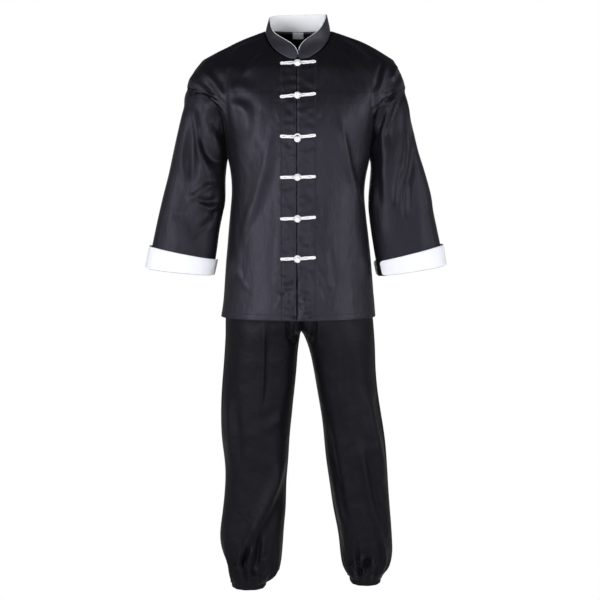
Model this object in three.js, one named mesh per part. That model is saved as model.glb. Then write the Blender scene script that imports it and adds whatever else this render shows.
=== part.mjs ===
// Tai chi uniform: a stand-collar jacket with six frog fasteners and turned-back white cuffs, and
// trousers gathered at the ankles. Both hang in the hollow form that they take when worn.
// Millimetres, +Z up, the front faces -Y, +X is the wearer's left. The origin is between the
// shoulders, at the level where the shoulder seams meet the neck, which is where it is carried.
import * as THREE from "three";

// Cloth thicknesses and gaps
const JACKET_CLOTH = 2;
const TROUSER_CLOTH = 2;
const CUFF_CLOTH = 1.6;
const COLLAR_CLOTH = 1.2;
const SEAM_GAP = 0.3;
const RIM_BEVEL = 1.2;

// Driving levels, measured down from the shoulder at the neck
const YOKE_Z = -98;
const ARMHOLE_TOP_Z = -143;
const UNDERARM_Z = -322;
const JACKET_HEM_Z = -726;
const SIDE_VENT_Z = -668;
const FRONT_NECK_DROP = 76;
const BACK_NECK_DROP = 2;
const CROTCH_Z = -769;
const CROTCH_CURVE_TOP_Z = -672;
const CROTCH_X = 8;

// The fronts meet edge to edge a little to the wearer's right of the middle
const FRONT_EDGE_X = -2.5;

const BLACK_SATEEN = { color: 0x2b2b33, roughness: 0.48, metalness: 0 };
const BLACK_COTTON = { color: 0x1b1b1f, roughness: 0.85, metalness: 0 };
const WHITE_COTTON = { color: 0xf2f3f8, roughness: 0.8, metalness: 0 };
const WHITE_CORD = { color: 0xf6f4f4, roughness: 0.7, metalness: 0 };

const RIGHT = -1;
const LEFT = 1;
const FRONT = -1;
const BACK = 1;
const HALF_TURN = Math.PI;
const QUARTER_TURN = Math.PI / 2;

// Half widths of the shoulders, the upper arms and, below the underarm, the torso
const OUTLINE = [
  { z: 0, right: 84, left: 84 },
  { z: -22, right: 145, left: 155 },
  { z: -48, right: 198, left: 207 },
  { z: -73, right: 241, left: 243 },
  { z: -98, right: 262, left: 258 },
  { z: -123, right: 273, left: 269 },
  { z: -143, right: 278, left: 275 },
  { z: -173, right: 286, left: 282 },
  { z: -224, right: 299, left: 293 },
  { z: -275, right: 312, left: 305 },
  { z: -326, right: 324, left: 317 },
];
const TORSO = [
  { z: -60, right: 158, left: 146 },
  { z: -100, right: 180, left: 170 },
  { z: -143, right: 191, left: 187 },
  { z: -205, right: 194, left: 194 },
  { z: -257, right: 188, left: 192 },
  { z: -322, right: 180, left: 186 },
  { z: -350, right: 174, left: 179 },
  { z: -400, right: 170, left: 171 },
  { z: -460, right: 175, left: 175 },
  { z: -526, right: 179, left: 183 },
  { z: -590, right: 183, left: 190 },
  { z: -650, right: 187, left: 194 },
  { z: -700, right: 193, left: 198 },
  { z: -726, right: 198, left: 200 },
];

// The armhole seam as the front view shows it: over the arm, then down the crease at its inside
const ARMHOLE = [
  { z: -143, right: 278, left: 275 },
  { z: -150, right: 263, left: 261 },
  { z: -160, right: 242, left: 238 },
  { z: -173, right: 222, left: 219 },
  { z: -190, right: 205, left: 203 },
  { z: -212, right: 194, left: 194 },
  { z: -240, right: 190, left: 192 },
  { z: -270, right: 186, left: 191 },
  { z: -298, right: 183, left: 188 },
  { z: -314, right: 181, left: 186.5 },
  { z: -322, right: 180, left: 186 },
];

// Depths of the jacket in front of and behind the shoulder line
const DEPTH = [
  { z: 0, front: 88, back: 62 },
  { z: -22, front: 91, back: 76 },
  { z: -48, front: 94, back: 88 },
  { z: -73, front: 98, back: 98 },
  { z: -98, front: 103, back: 106 },
  { z: -143, front: 115, back: 117 },
  { z: -205, front: 127, back: 123 },
  { z: -265, front: 130, back: 122 },
  { z: -322, front: 128, back: 118 },
  { z: -400, front: 124, back: 114 },
  { z: -500, front: 126, back: 118 },
  { z: -600, front: 130, back: 127 },
  { z: -726, front: 136, back: 134 },
];

// How much of the crease between chest and arm is closed, from open at the yoke to the underarm
const ARM_CREASE = [
  { z: -100, closed: 0 },
  { z: -150, closed: 0.04 },
  { z: -173, closed: 0.13 },
  { z: -190, closed: 0.24 },
  { z: -212, closed: 0.4 },
  { z: -240, closed: 0.62 },
  { z: -270, closed: 0.83 },
  { z: -300, closed: 0.95 },
  { z: -322, closed: 1 },
];

const ARM_CREASE_WIDTH = 17;
const SHOULDER_ROUNDNESS = 2.15;
const TORSO_ROUNDNESS = 2.5;
const NECK_CURVE = 1.15;

// Sleeve sections from the armhole to the cuff: its outer and inner edges, depths and middle
const SLEEVE_RIGHT = [
  { t: 0, outX: 278, outZ: -143, inX: 180, inZ: -322, front: 70, back: 68, middle: 0 },
  { t: 0.2, outX: 302, outZ: -238, inX: 185, inZ: -380, front: 67, back: 65, middle: -4 },
  { t: 0.4, outX: 326, outZ: -334, inX: 184, inZ: -428, front: 63, back: 61, middle: -10 },
  { t: 0.6, outX: 350, outZ: -420, inX: 198, inZ: -490, front: 58, back: 57, middle: -15 },
  { t: 0.8, outX: 371, outZ: -509, inX: 206, inZ: -553, front: 53, back: 52, middle: -19 },
  { t: 1, outX: 391, outZ: -602, inX: 217, inZ: -620, front: 49, back: 48, middle: -22 },
];
const SLEEVE_LEFT = [
  { t: 0, outX: 275, outZ: -143, inX: 186, inZ: -322, front: 70, back: 68, middle: 0 },
  { t: 0.2, outX: 296, outZ: -238, inX: 181, inZ: -384, front: 67, back: 65, middle: -4 },
  { t: 0.4, outX: 320, outZ: -334, inX: 177, inZ: -440, front: 63, back: 61, middle: -10 },
  { t: 0.6, outX: 343, outZ: -425, inX: 184, inZ: -500, front: 58, back: 57, middle: -17 },
  { t: 0.8, outX: 362, outZ: -508, inX: 194, inZ: -561, front: 53, back: 52, middle: -19 },
  { t: 1, outX: 381, outZ: -594, inX: 205, inZ: -622, front: 49, back: 48, middle: -22 },
];
const SLEEVE_STEPS = [0, 0.03, 0.07, 0.12, 0.18, 0.26, 0.35, 0.44, 0.53, 0.62, 0.71, 0.8, 0.9, 1];
const SEAM_TUCK_LENGTH = 0.16;
const SLEEVE_ROUNDNESS = 2.15;

// Cuffs: a white band turned back over the sleeve end, its ends apart beside the underarm seam
const CUFF_START = 0.875;
const CUFF_OPENING = {
  [RIGHT]: { from: 188, to: 222 },
  [LEFT]: { from: 146, to: 186 },
};

// Stand collar, from the wearer's right front end round the back to the left front end
const COLLAR = [
  { turn: -177, height: 13, lean: 1 },
  { turn: -170, height: 25, lean: 2 },
  { turn: -158, height: 35, lean: 4 },
  { turn: -140, height: 35, lean: 7 },
  { turn: -120, height: 31, lean: 9 },
  { turn: -90, height: 34, lean: 10 },
  { turn: -45, height: 43, lean: 8 },
  { turn: 0, height: 47, lean: 6 },
  { turn: 45, height: 46, lean: 8 },
  { turn: 90, height: 43, lean: 10 },
  { turn: 120, height: 48, lean: 10 },
  { turn: 145, height: 49, lean: 8 },
  { turn: 160, height: 41, lean: 5 },
  { turn: 171, height: 27, lean: 2 },
  { turn: 177, height: 13, lean: 1 },
];
const COLLAR_STEPS = 32;
const PIPING = 1.4;

// Frogs: the heights of the outer ends and of the knot, as each one was sewn on
const FROGS = [
  { rightZ: -86, leftZ: -82, knotZ: -86 },
  { rightZ: -169, leftZ: -162, knotZ: -165 },
  { rightZ: -266, leftZ: -264, knotZ: -273 },
  { rightZ: -367, leftZ: -365, knotZ: -368 },
  { rightZ: -470, leftZ: -466, knotZ: -471 },
  { rightZ: -570, leftZ: -566, knotZ: -571 },
];
const FROG_REACH = 43;
const CORD_RADIUS = 2.1;
const KNOT_RADIUS = 6.6;
const FROG_STEPS = 6;

// Trousers: outer edges above and below the crotch, inner edges of the legs below it
const TROUSERS = [
  { z: -485, right: 152, left: 152, rightIn: 0, leftIn: 16, front: 104, back: 100 },
  { z: -560, right: 167, left: 169, rightIn: 0, leftIn: 16, front: 112, back: 108 },
  { z: -630, right: 178, left: 184, rightIn: 0, leftIn: 16, front: 118, back: 115 },
  { z: -690, right: 185, left: 190, rightIn: -2, leftIn: 18, front: 120, back: 118 },
  { z: -726, right: 189, left: 194, rightIn: -4, leftIn: 13, front: 120, back: 118 },
  { z: -769, right: 190, left: 198, rightIn: -7, leftIn: 10, front: 116, back: 114 },
  { z: -793, right: 191, left: 200, rightIn: -3, leftIn: 22, front: 111, back: 110 },
  { z: -819, right: 193, left: 202, rightIn: 0, leftIn: 30, front: 107, back: 106 },
  { z: -872, right: 197, left: 204, rightIn: 3, leftIn: 41, front: 102, back: 100 },
  { z: -925, right: 202, left: 209, rightIn: 9, leftIn: 50, front: 98, back: 96 },
  { z: -979, right: 204, left: 218, rightIn: 16, leftIn: 60, front: 94, back: 92 },
  { z: -1032, right: 204, left: 227, rightIn: 22, leftIn: 66, front: 90, back: 88 },
  { z: -1086, right: 199, left: 234, rightIn: 24, leftIn: 69, front: 86, back: 86 },
  { z: -1137, right: 189, left: 236, rightIn: 27, leftIn: 75, front: 83, back: 86 },
  { z: -1194, right: 193, left: 238, rightIn: 31, leftIn: 84, front: 80, back: 87 },
  { z: -1248, right: 199, left: 242, rightIn: 33, leftIn: 89, front: 78, back: 88 },
  { z: -1316, right: 206, left: 247, rightIn: 39, leftIn: 104, front: 76, back: 87 },
  { z: -1358, right: 199, left: 249, rightIn: 40, leftIn: 109, front: 74, back: 83 },
  { z: -1390, right: 186, left: 243, rightIn: 43, leftIn: 113, front: 69, back: 75 },
  { z: -1412, right: 184, left: 237, rightIn: 49, leftIn: 117, front: 61, back: 64 },
  { z: -1430, right: 182, left: 229, rightIn: 64, leftIn: 127, front: 53, back: 54 },
  { z: -1440, right: 180, left: 223, rightIn: 82, leftIn: 135, front: 47, back: 47 },
];
const TROUSER_LEVELS = [
  -485, -560, -630, -680, -715, -742, -758, -769, -782, -815, -865, -925, -990, -1055, -1120, -1185,
  -1250, -1310, -1355, -1388, -1412, -1430, -1440,
];
const HIP_CLEARANCE = 10;
const SIDE_CLEARANCE = 4;
const LEG_ROUNDNESS = 2.3;
const TROUSER_COLUMNS = 11;

// Gathers that the ankle elastic draws in: as many waves as columns, fading upwards
const GATHER_TOP_Z = -1335;
const GATHER_DEPTH = 5.5;
const ANKLE_BAND_HEIGHT = 14;
const ANKLE_LIFT = { [RIGHT]: 0, [LEFT]: 12 };
const WAISTBAND_HEIGHT = 35;

// Folds of the jacket as the front view shows them; lift is proud of the cloth, or sunk if negative
const JACKET_FOLDS = [
  { side: RIGHT, face: FRONT, x0: 72, z0: -235, x1: 152, z1: -520, width: 24, lift: 6 },
  { side: RIGHT, face: FRONT, x0: 95, z0: -205, x1: 128, z1: -400, width: 22, lift: -4 },
  { side: RIGHT, face: FRONT, x0: 140, z0: -205, x1: 150, z1: -400, width: 22, lift: 6 },
  { side: RIGHT, face: FRONT, x0: 40, z0: -650, x1: 85, z1: -715, width: 24, lift: 4 },
  { side: LEFT, face: FRONT, x0: 100, z0: -235, x1: 150, z1: -460, width: 22, lift: 7 },
  { side: LEFT, face: FRONT, x0: 132, z0: -210, x1: 165, z1: -420, width: 22, lift: -5 },
  { side: LEFT, face: FRONT, x0: 78, z0: -575, x1: 125, z1: -715, width: 27, lift: -3 },
  { side: RIGHT, face: BACK, x0: 60, z0: -230, x1: 150, z1: -500, width: 27, lift: 6 },
  { side: RIGHT, face: BACK, x0: 120, z0: -200, x1: 145, z1: -420, width: 22, lift: -4 },
  { side: LEFT, face: BACK, x0: 70, z0: -240, x1: 150, z1: -470, width: 27, lift: 6 },
  { side: LEFT, face: BACK, x0: 30, z0: -480, x1: 90, z1: -700, width: 30, lift: -4 },
];

// Folds of the sleeves, by distance from armhole to cuff and by turn from the outer edge
const SLEEVE_FOLDS = [
  { side: RIGHT, t0: 0.02, a0: 38, t1: 0.3, a1: 125, width: 16, lift: 6 },
  { side: RIGHT, t0: 0.04, a0: 62, t1: 0.2, a1: 132, width: 15, lift: -5 },
  { side: RIGHT, t0: 0.06, a0: 30, t1: 0.7, a1: 52, width: 17, lift: 6 },
  { side: RIGHT, t0: 0.1, a0: 58, t1: 0.62, a1: 84, width: 17, lift: -6 },
  { side: RIGHT, t0: 0.2, a0: 84, t1: 0.6, a1: 112, width: 16, lift: 5 },
  { side: RIGHT, t0: 0.58, a0: 90, t1: 0.72, a1: 140, width: 20, lift: -5 },
  { side: RIGHT, t0: 0.74, a0: 118, t1: 0.92, a1: 72, width: 17, lift: 4 },
  { side: LEFT, t0: 0.03, a0: 112, t1: 0.4, a1: 128, width: 17, lift: 6 },
  { side: LEFT, t0: 0.02, a0: 66, t1: 0.16, a1: 100, width: 15, lift: -5 },
  { side: LEFT, t0: 0.08, a0: 34, t1: 0.8, a1: 62, width: 17, lift: 5 },
  { side: LEFT, t0: 0.15, a0: 62, t1: 0.85, a1: 92, width: 17, lift: -5 },
  { side: LEFT, t0: 0.5, a0: 128, t1: 0.9, a1: 106, width: 17, lift: 4 },
  { side: RIGHT, t0: 0.05, a0: 300, t1: 0.7, a1: 262, width: 19, lift: 6 },
  { side: RIGHT, t0: 0.12, a0: 268, t1: 0.6, a1: 236, width: 19, lift: -5 },
  { side: LEFT, t0: 0.05, a0: 302, t1: 0.75, a1: 272, width: 19, lift: 6 },
  { side: LEFT, t0: 0.1, a0: 266, t1: 0.6, a1: 232, width: 19, lift: -5 },
];

// Folds of the trousers as the front view shows them
const TROUSER_FOLDS = [
  { side: RIGHT, face: FRONT, x0: 96, z0: -700, x1: 102, z1: -1090, width: 18, lift: 6 },
  { side: RIGHT, face: FRONT, x0: 72, z0: -790, x1: 74, z1: -1080, width: 20, lift: -5 },
  { side: RIGHT, face: FRONT, x0: 60, z0: -1120, x1: 130, z1: -1350, width: 20, lift: 7 },
  { side: RIGHT, face: FRONT, x0: 90, z0: -1290, x1: 78, z1: -1400, width: 18, lift: -6 },
  { side: RIGHT, face: FRONT, x0: 172, z0: -1130, x1: 150, z1: -1400, width: 19, lift: -5 },
  { side: LEFT, face: FRONT, x0: 178, z0: -900, x1: 210, z1: -1180, width: 22, lift: 6 },
  { side: LEFT, face: FRONT, x0: 150, z0: -1010, x1: 190, z1: -1360, width: 18, lift: 6 },
  { side: LEFT, face: FRONT, x0: 185, z0: -1130, x1: 222, z1: -1390, width: 19, lift: -6 },
  { side: LEFT, face: FRONT, x0: 100, z0: -1100, x1: 128, z1: -1330, width: 18, lift: 5 },
  { side: RIGHT, face: BACK, x0: 60, z0: -800, x1: 90, z1: -1100, width: 24, lift: 6 },
  { side: RIGHT, face: BACK, x0: 150, z0: -1050, x1: 100, z1: -1350, width: 22, lift: -6 },
  { side: LEFT, face: BACK, x0: 90, z0: -810, x1: 130, z1: -1120, width: 24, lift: 6 },
  { side: LEFT, face: BACK, x0: 200, z0: -1050, x1: 160, z1: -1360, width: 22, lift: -6 },
];

const sideKey = (side) => (side === RIGHT ? "right" : "left");
const faceKey = (face) => (face === FRONT ? "front" : "back");
const mix = (a, b, share) => a + (b - a) * share;
const clamp01 = (value) => Math.min(1, Math.max(0, value));
const smoothstep = (from, to, value) => {
  const s = clamp01((value - from) / (to - from));
  return s * s * (3 - 2 * s);
};

// A column of a table at any place along its key, on a smooth curve that never overshoots
function column(table, key, name, at) {
  const rows = [...table].sort((a, b) => a[key] - b[key]);
  const last = rows.length - 1;
  if (at <= rows[0][key]) return rows[0][name];
  if (at >= rows[last][key]) return rows[last][name];
  const i = rows.findIndex((row) => row[key] > at) - 1;
  const slope = (n) => (rows[n + 1][name] - rows[n][name]) / (rows[n + 1][key] - rows[n][key]);
  const tangent = (n) => {
    if (n === 0) return slope(0);
    if (n === last) return slope(last - 1);
    const before = slope(n - 1);
    const after = slope(n);
    return before * after <= 0 ? 0 : (2 * before * after) / (before + after);
  };
  const span = rows[i + 1][key] - rows[i][key];
  const s = (at - rows[i][key]) / span;
  const ease = s * s * (3 - 2 * s);
  const value = mix(rows[i][name], rows[i + 1][name], ease);
  const lead = s * (1 - s) * (1 - s) * span * tangent(i);
  const trail = s * s * (s - 1) * span * tangent(i + 1);
  return value + lead + trail;
}

// Distance from a flat point to a fold's line, and how strong the fold is there along its length
function foldAt(px, pz, fold, ends) {
  const [ax, az, bx, bz] = ends;
  const dx = bx - ax;
  const dz = bz - az;
  const along = ((px - ax) * dx + (pz - az) * dz) / (dx * dx + dz * dz);
  const s = clamp01(along);
  const away = Math.hypot(px - ax - dx * s, pz - az - dz * s);
  const fade = Math.sqrt(Math.sin(HALF_TURN * mix(0.04, 0.96, s)));
  return fold.lift * fade * Math.exp(-((away / fold.width) ** 2));
}

function viewFolds(folds, side, face, x, z) {
  return folds
    .filter((fold) => fold.side === side && fold.face === face)
    .reduce((sum, fold) => sum + foldAt(x, z, fold, [fold.x0, fold.z0, fold.x1, fold.z1]), 0);
}

// A closed body from points and triangles, turned so that its faces point outwards
function solid(positions, index) {
  const corner = (i) => new THREE.Vector3().fromArray(positions, index[i] * 3);
  let volume = 0;
  for (let i = 0; i < index.length; i += 3) {
    volume += corner(i).dot(corner(i + 1).cross(corner(i + 2)));
  }
  const geometry = new THREE.BufferGeometry();
  geometry.setAttribute("position", new THREE.Float32BufferAttribute(positions, 3));
  geometry.setIndex(volume < 0 ? index.reverse() : index);
  geometry.computeVertexNormals();
  return geometry;
}

// Grids of points become walls of cloth

function gridNormals(grid, wraps) {
  const rows = grid.length;
  const columns = grid[0].length;
  const middle = new THREE.Vector3();
  grid.flat().forEach((point) => middle.add(point));
  middle.divideScalar(rows * columns);
  const normals = grid.map((row, r) =>
    row.map((_, c) => {
      const left = wraps ? row[(c + columns - 1) % columns] : row[Math.max(0, c - 1)];
      const right = wraps ? row[(c + 1) % columns] : row[Math.min(columns - 1, c + 1)];
      const below = grid[Math.max(0, r - 1)][c];
      const above = grid[Math.min(rows - 1, r + 1)][c];
      return right.clone().sub(left).cross(above.clone().sub(below)).normalize();
    }),
  );
  let facing = 0;
  grid.forEach((row, r) =>
    row.forEach((point, c) => (facing += normals[r][c].dot(point.clone().sub(middle)))),
  );
  const outwards = facing > 0;
  if (!outwards) normals.flat().forEach((normal) => normal.negate());
  return { normals, outwards };
}

// Edges of the inner face stand back, so that walls that meet at a seam never touch
function bevelInner(inner, wraps, openEdges) {
  const back = (from, to) => {
    const step = to.clone().sub(from);
    const length = step.length();
    from.addScaledVector(step, Math.min(RIM_BEVEL, length * 0.4) / Math.max(length, 1e-6));
  };
  const rows = inner.length;
  const columns = inner[0].length;
  if (!wraps) {
    inner.forEach((row) => {
      if (openEdges.start) back(row[0], row[1]);
      if (openEdges.end) back(row[columns - 1], row[columns - 2]);
    });
  }
  inner[0].forEach((point, c) => openEdges.bottom && back(point, inner[1][c]));
  inner[rows - 1].forEach((point, c) => openEdges.top && back(point, inner[rows - 2][c]));
}

function wall(grid, thickness, options = {}) {
  const { wraps = false, bevel = { start: true, end: true, bottom: true, top: true } } = options;
  const rows = grid.length;
  const columns = grid[0].length;
  const { normals, outwards } = gridNormals(grid, wraps);
  const inner = grid.map((row, r) =>
    row.map((point, c) => point.clone().addScaledVector(normals[r][c], -thickness)),
  );
  bevelInner(inner, wraps, bevel);
  const positions = [...grid.flat(), ...inner.flat()].flatMap((point) => point.toArray());
  const outerAt = (r, c) => r * columns + (c % columns);
  const innerAt = (r, c) => rows * columns + outerAt(r, c);
  const index = [];
  const quad = (a, b, c, d) => {
    if (outwards) index.push(a, b, c, a, c, d);
    else index.push(a, c, b, a, d, c);
  };
  const spans = wraps ? columns : columns - 1;
  for (let r = 0; r < rows - 1; r++) {
    for (let c = 0; c < spans; c++) {
      quad(outerAt(r, c), outerAt(r, c + 1), outerAt(r + 1, c + 1), outerAt(r + 1, c));
      quad(innerAt(r, c), innerAt(r + 1, c), innerAt(r + 1, c + 1), innerAt(r, c + 1));
    }
  }
  for (let c = 0; c < spans; c++) {
    quad(outerAt(0, c), innerAt(0, c), innerAt(0, c + 1), outerAt(0, c + 1));
    const top = rows - 1;
    quad(outerAt(top, c), outerAt(top, c + 1), innerAt(top, c + 1), innerAt(top, c));
  }
  if (!wraps) {
    const end = columns - 1;
    for (let r = 0; r < rows - 1; r++) {
      quad(outerAt(r, 0), outerAt(r + 1, 0), innerAt(r + 1, 0), innerAt(r, 0));
      quad(outerAt(r, end), innerAt(r, end), innerAt(r + 1, end), outerAt(r + 1, end));
    }
  }
  return solid(positions, index);
}

// Moves a point towards its neighbour on the same panel by a share of the seam's gap
function trim(point, towards, distance = SEAM_GAP / 2) {
  const step = towards.clone().sub(point);
  point.addScaledVector(step, distance / Math.max(step.length(), 1e-6));
}

const uniform = new THREE.Group();

function addPiece(name, geometry, finish) {
  const mesh = new THREE.Mesh(geometry, new THREE.MeshStandardMaterial(finish));
  mesh.name = name;
  uniform.add(mesh);
}

// Jacket body

const JACKET_LEVELS = [
  JACKET_HEM_Z, -700, -668, -630, -585, -540, -495, -450, -410, -375, -346,
  ...ARMHOLE.map((row) => row.z).reverse(),
  -123, YOKE_Z, -73, -48, -22, 0,
];

// The jacket's depth at a distance x from the middle, in the section whose side edge is at z
function jacketDepth(side, face, z, x) {
  const depth = column(DEPTH, "z", faceKey(face), z);
  const torso = column(TORSO, "z", sideKey(side), z);
  const arc = (share, roundness) => Math.max(0, 1 - Math.abs(share) ** roundness) ** (1 / roundness);
  if (z <= UNDERARM_Z) return depth * arc(x / torso, TORSO_ROUNDNESS);
  const reach = column(OUTLINE, "z", sideKey(side), z);
  const dome = depth * arc(x / reach, SHOULDER_ROUNDNESS);
  const closed = column(ARM_CREASE, "z", "closed", z);
  if (closed === 0) return dome;
  const creaseTop = depth * arc(torso / reach, SHOULDER_ROUNDNESS);
  const creaseBottom = creaseTop * (1 - closed);
  const lobed = smoothstep(-90, -230, z);
  if (x < torso) {
    const chest = mix(creaseBottom, depth, arc(x / torso, TORSO_ROUNDNESS));
    const creased = dome - (creaseTop - creaseBottom) * Math.exp(-(((x - torso) / 26) ** 2));
    return mix(creased, chest, lobed);
  }
  return dome - (creaseTop - creaseBottom) * Math.exp(-(((x - torso) / ARM_CREASE_WIDTH) ** 2));
}

function jacketReach(side, z) {
  const table = z <= UNDERARM_Z ? TORSO : z <= ARMHOLE_TOP_Z ? ARMHOLE : OUTLINE;
  return column(table, "z", sideKey(side), z);
}

// Above the yoke each section dips from its end on the shoulder seam towards the neck's middle
function jacketHeight(side, face, z, depth) {
  if (z <= YOKE_Z) return z;
  const drop = face === FRONT ? FRONT_NECK_DROP : BACK_NECK_DROP;
  const middleZ = mix(YOKE_Z, -drop, (z - YOKE_Z) / -YOKE_Z);
  const full = column(DEPTH, "z", faceKey(face), z);
  return mix(z, middleZ, clamp01(depth / full) ** NECK_CURVE);
}

// A point of the jacket body; share runs from the middle of the front or back to the side
function jacketPoint(side, face, z, share, startX = 0) {
  const reach = jacketReach(side, z);
  const x = mix(startX, reach, Math.sin(share * QUARTER_TURN) ** (2 / TORSO_ROUNDNESS));
  let depth = Math.max(0, jacketDepth(side, face, z, x));
  const height = jacketHeight(side, face, z, depth);
  const edgeFade = smoothstep(0, 0.14, share) * smoothstep(1, 0.86, share);
  const hemFade = smoothstep(JACKET_HEM_Z - 20, JACKET_HEM_Z + 30, z);
  depth += viewFolds(JACKET_FOLDS, side, face, x, z) * edgeFade * hemFade;
  const vent = 1 - smoothstep(JACKET_HEM_Z, SIDE_VENT_Z, z);
  depth += vent * 5 * smoothstep(0.55, 1, share);
  return new THREE.Vector3(side * x, face * depth, height);
}

// The direction across the armhole seam in the front view, from the body to the sleeve
function acrossArmhole(side, z) {
  const rows = ARMHOLE.length - 1;
  const i = Math.min(Math.max(ARMHOLE.findIndex((row) => row.z <= z), 0), rows);
  const above = ARMHOLE[Math.max(0, i - 1)];
  const below = ARMHOLE[Math.min(rows, i + 1)];
  const key = sideKey(side);
  return new THREE.Vector3(side * (above.z - below.z), 0, below[key] - above[key]).normalize();
}

// Half of the gap at the panel's outer edge: across the armhole, or away from the side seam
function seamShift(side, face, z) {
  const shift = new THREE.Vector3();
  if (z >= ARMHOLE_TOP_Z || z <= UNDERARM_Z) shift.y = (face * SEAM_GAP) / 2;
  if (z > ARMHOLE_TOP_Z || z < UNDERARM_Z) return shift;
  return shift.addScaledVector(acrossArmhole(side, z), -SEAM_GAP / 2);
}

const FRONT_COLUMNS = 12;
const BACK_COLUMNS = 8;

function jacketGrid(side, face, columns) {
  const startX = face === FRONT ? side * FRONT_EDGE_X + SEAM_GAP / 2 : 0;
  const grid = JACKET_LEVELS.map((z) =>
    Array.from({ length: columns + 1 }, (_, c) => jacketPoint(side, face, z, c / columns, startX)),
  );
  grid.forEach((row, r) => row[columns].add(seamShift(side, face, JACKET_LEVELS[r])));
  const top = grid.length - 1;
  grid[top].forEach((point, c) => trim(point, grid[top - 1][c]));
  return grid;
}

function addJacketBody() {
  addPiece("front_right", wall(jacketGrid(RIGHT, FRONT, FRONT_COLUMNS), JACKET_CLOTH), BLACK_SATEEN);
  addPiece("front_left", wall(jacketGrid(LEFT, FRONT, FRONT_COLUMNS), JACKET_CLOTH), BLACK_SATEEN);
  const rightHalf = jacketGrid(RIGHT, BACK, BACK_COLUMNS);
  const leftHalf = jacketGrid(LEFT, BACK, BACK_COLUMNS);
  const back = rightHalf.map((row, r) => [...row.reverse(), ...leftHalf[r].slice(1)]);
  addPiece("back", wall(back, JACKET_CLOTH), BLACK_SATEEN);
}

// Sleeves

const sleeveTable = (side) => (side === RIGHT ? SLEEVE_RIGHT : SLEEVE_LEFT);

// The rounded tube of a sleeve before it is tucked in at the armhole
function sleeveTube(side, t, turn) {
  const at = (name) => column(sleeveTable(side), "t", name, t);
  const round = (value) => Math.sign(value) * Math.abs(value) ** (2 / SLEEVE_ROUNDNESS);
  const across = round(Math.cos(turn));
  const out = round(Math.sin(turn));
  const depth = turn <= HALF_TURN ? at("front") : at("back");
  const x = mix(at("inX"), at("outX"), (across + 1) / 2);
  const z = mix(at("inZ"), at("outZ"), (across + 1) / 2);
  return new THREE.Vector3(side * x, at("middle") - depth * out, z);
}

// The armhole's own points, in order from its top down the front and up the back
function armholeRing(side) {
  const levels = ARMHOLE.map((row) => row.z);
  const front = levels.map((z) => jacketPoint(side, FRONT, z, 1));
  const back = levels.slice(1, -1).reverse().map((z) => jacketPoint(side, BACK, z, 1));
  return [...front, ...back];
}

// The turn round the sleeve that each armhole point leads to
function armholeTurns(side, ring) {
  const table = sleeveTable(side);
  const top = new THREE.Vector2(table[0].outX, table[0].outZ);
  const bottom = new THREE.Vector2(table[0].inX, table[0].inZ);
  const middle = top.clone().add(bottom).multiplyScalar(0.5);
  const arm = top.clone().sub(middle);
  return ring.map((point, i) => {
    const away = new THREE.Vector2(Math.abs(point.x), point.z).sub(middle);
    const turn = Math.acos(Math.min(1, Math.max(-1, away.dot(arm) / arm.lengthSq())));
    return i < ARMHOLE.length ? turn : 2 * HALF_TURN - turn;
  });
}

function sleeveFolds(side, t, turn) {
  const degrees = (turn * 180) / HALF_TURN;
  const tScale = 300;
  return SLEEVE_FOLDS.filter((fold) => fold.side === side).reduce((sum, fold) => {
    const ends = [fold.a0, fold.t0 * tScale, fold.a1, fold.t1 * tScale];
    return sum + foldAt(degrees, t * tScale, fold, ends);
  }, 0);
}

function sleevePoint(side, t, turn, seamPoint) {
  const tucked = 1 - Math.min(1, t / SEAM_TUCK_LENGTH);
  const free = 1 - tucked * tucked;
  const tube = sleeveTube(side, t, turn);
  const start = sleeveTube(side, 0, turn);
  const fromSeam = seamPoint.clone().add(tube).sub(start);
  const point = fromSeam.lerp(tube, free);
  const fade = smoothstep(0, 0.05, t) * smoothstep(0.93, 0.78, t);
  const middle = sleeveTube(side, t, 0).lerp(sleeveTube(side, t, HALF_TURN), 0.5);
  const outward = tube.sub(middle).normalize();
  return point.addScaledVector(outward, sleeveFolds(side, t, turn) * fade);
}

function sleeveGrid(side, steps) {
  const ring = armholeRing(side);
  const turns = armholeTurns(side, ring);
  return steps.map((t) => ring.map((seamPoint, i) => sleevePoint(side, t, turns[i], seamPoint)));
}

function addSleeve(side) {
  const grid = sleeveGrid(side, SLEEVE_STEPS);
  armholeRing(side).forEach((seamPoint, i) => {
    grid[0][i].addScaledVector(acrossArmhole(side, seamPoint.z), SEAM_GAP / 2);
  });
  const bevel = { top: false, bottom: true };
  addPiece(`sleeve_${sideKey(side)}`, wall(grid, JACKET_CLOTH, { wraps: true, bevel }), BLACK_SATEEN);
}

// A cuff follows the sleeve's end, moved out by its own thickness and the gap
function addCuff(side) {
  const steps = [1, 0.96, 0.918, CUFF_START];
  const opening = CUFF_OPENING[side];
  const count = 18;
  const sweep = 360 - (opening.to - opening.from);
  const turns = Array.from({ length: count + 1 }, (_, i) => opening.to + (sweep * i) / count);
  const grid = steps.map((t) =>
    turns.map((degrees) => {
      const turn = ((degrees % 360) * HALF_TURN) / 180;
      const point = sleeveTube(side, t, turn);
      const middle = sleeveTube(side, t, 0).lerp(sleeveTube(side, t, HALF_TURN), 0.5);
      const away = CUFF_CLOTH + SEAM_GAP + 1.6 + 1.2 * smoothstep(1, CUFF_START, t);
      return point.addScaledVector(point.clone().sub(middle).normalize(), away);
    }),
  );
  const bevel = { start: false, end: false, top: false, bottom: false };
  addPiece(`cuff_${sideKey(side)}`, wall(grid, CUFF_CLOTH, { bevel }), WHITE_COTTON);
}

// Collar

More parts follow.
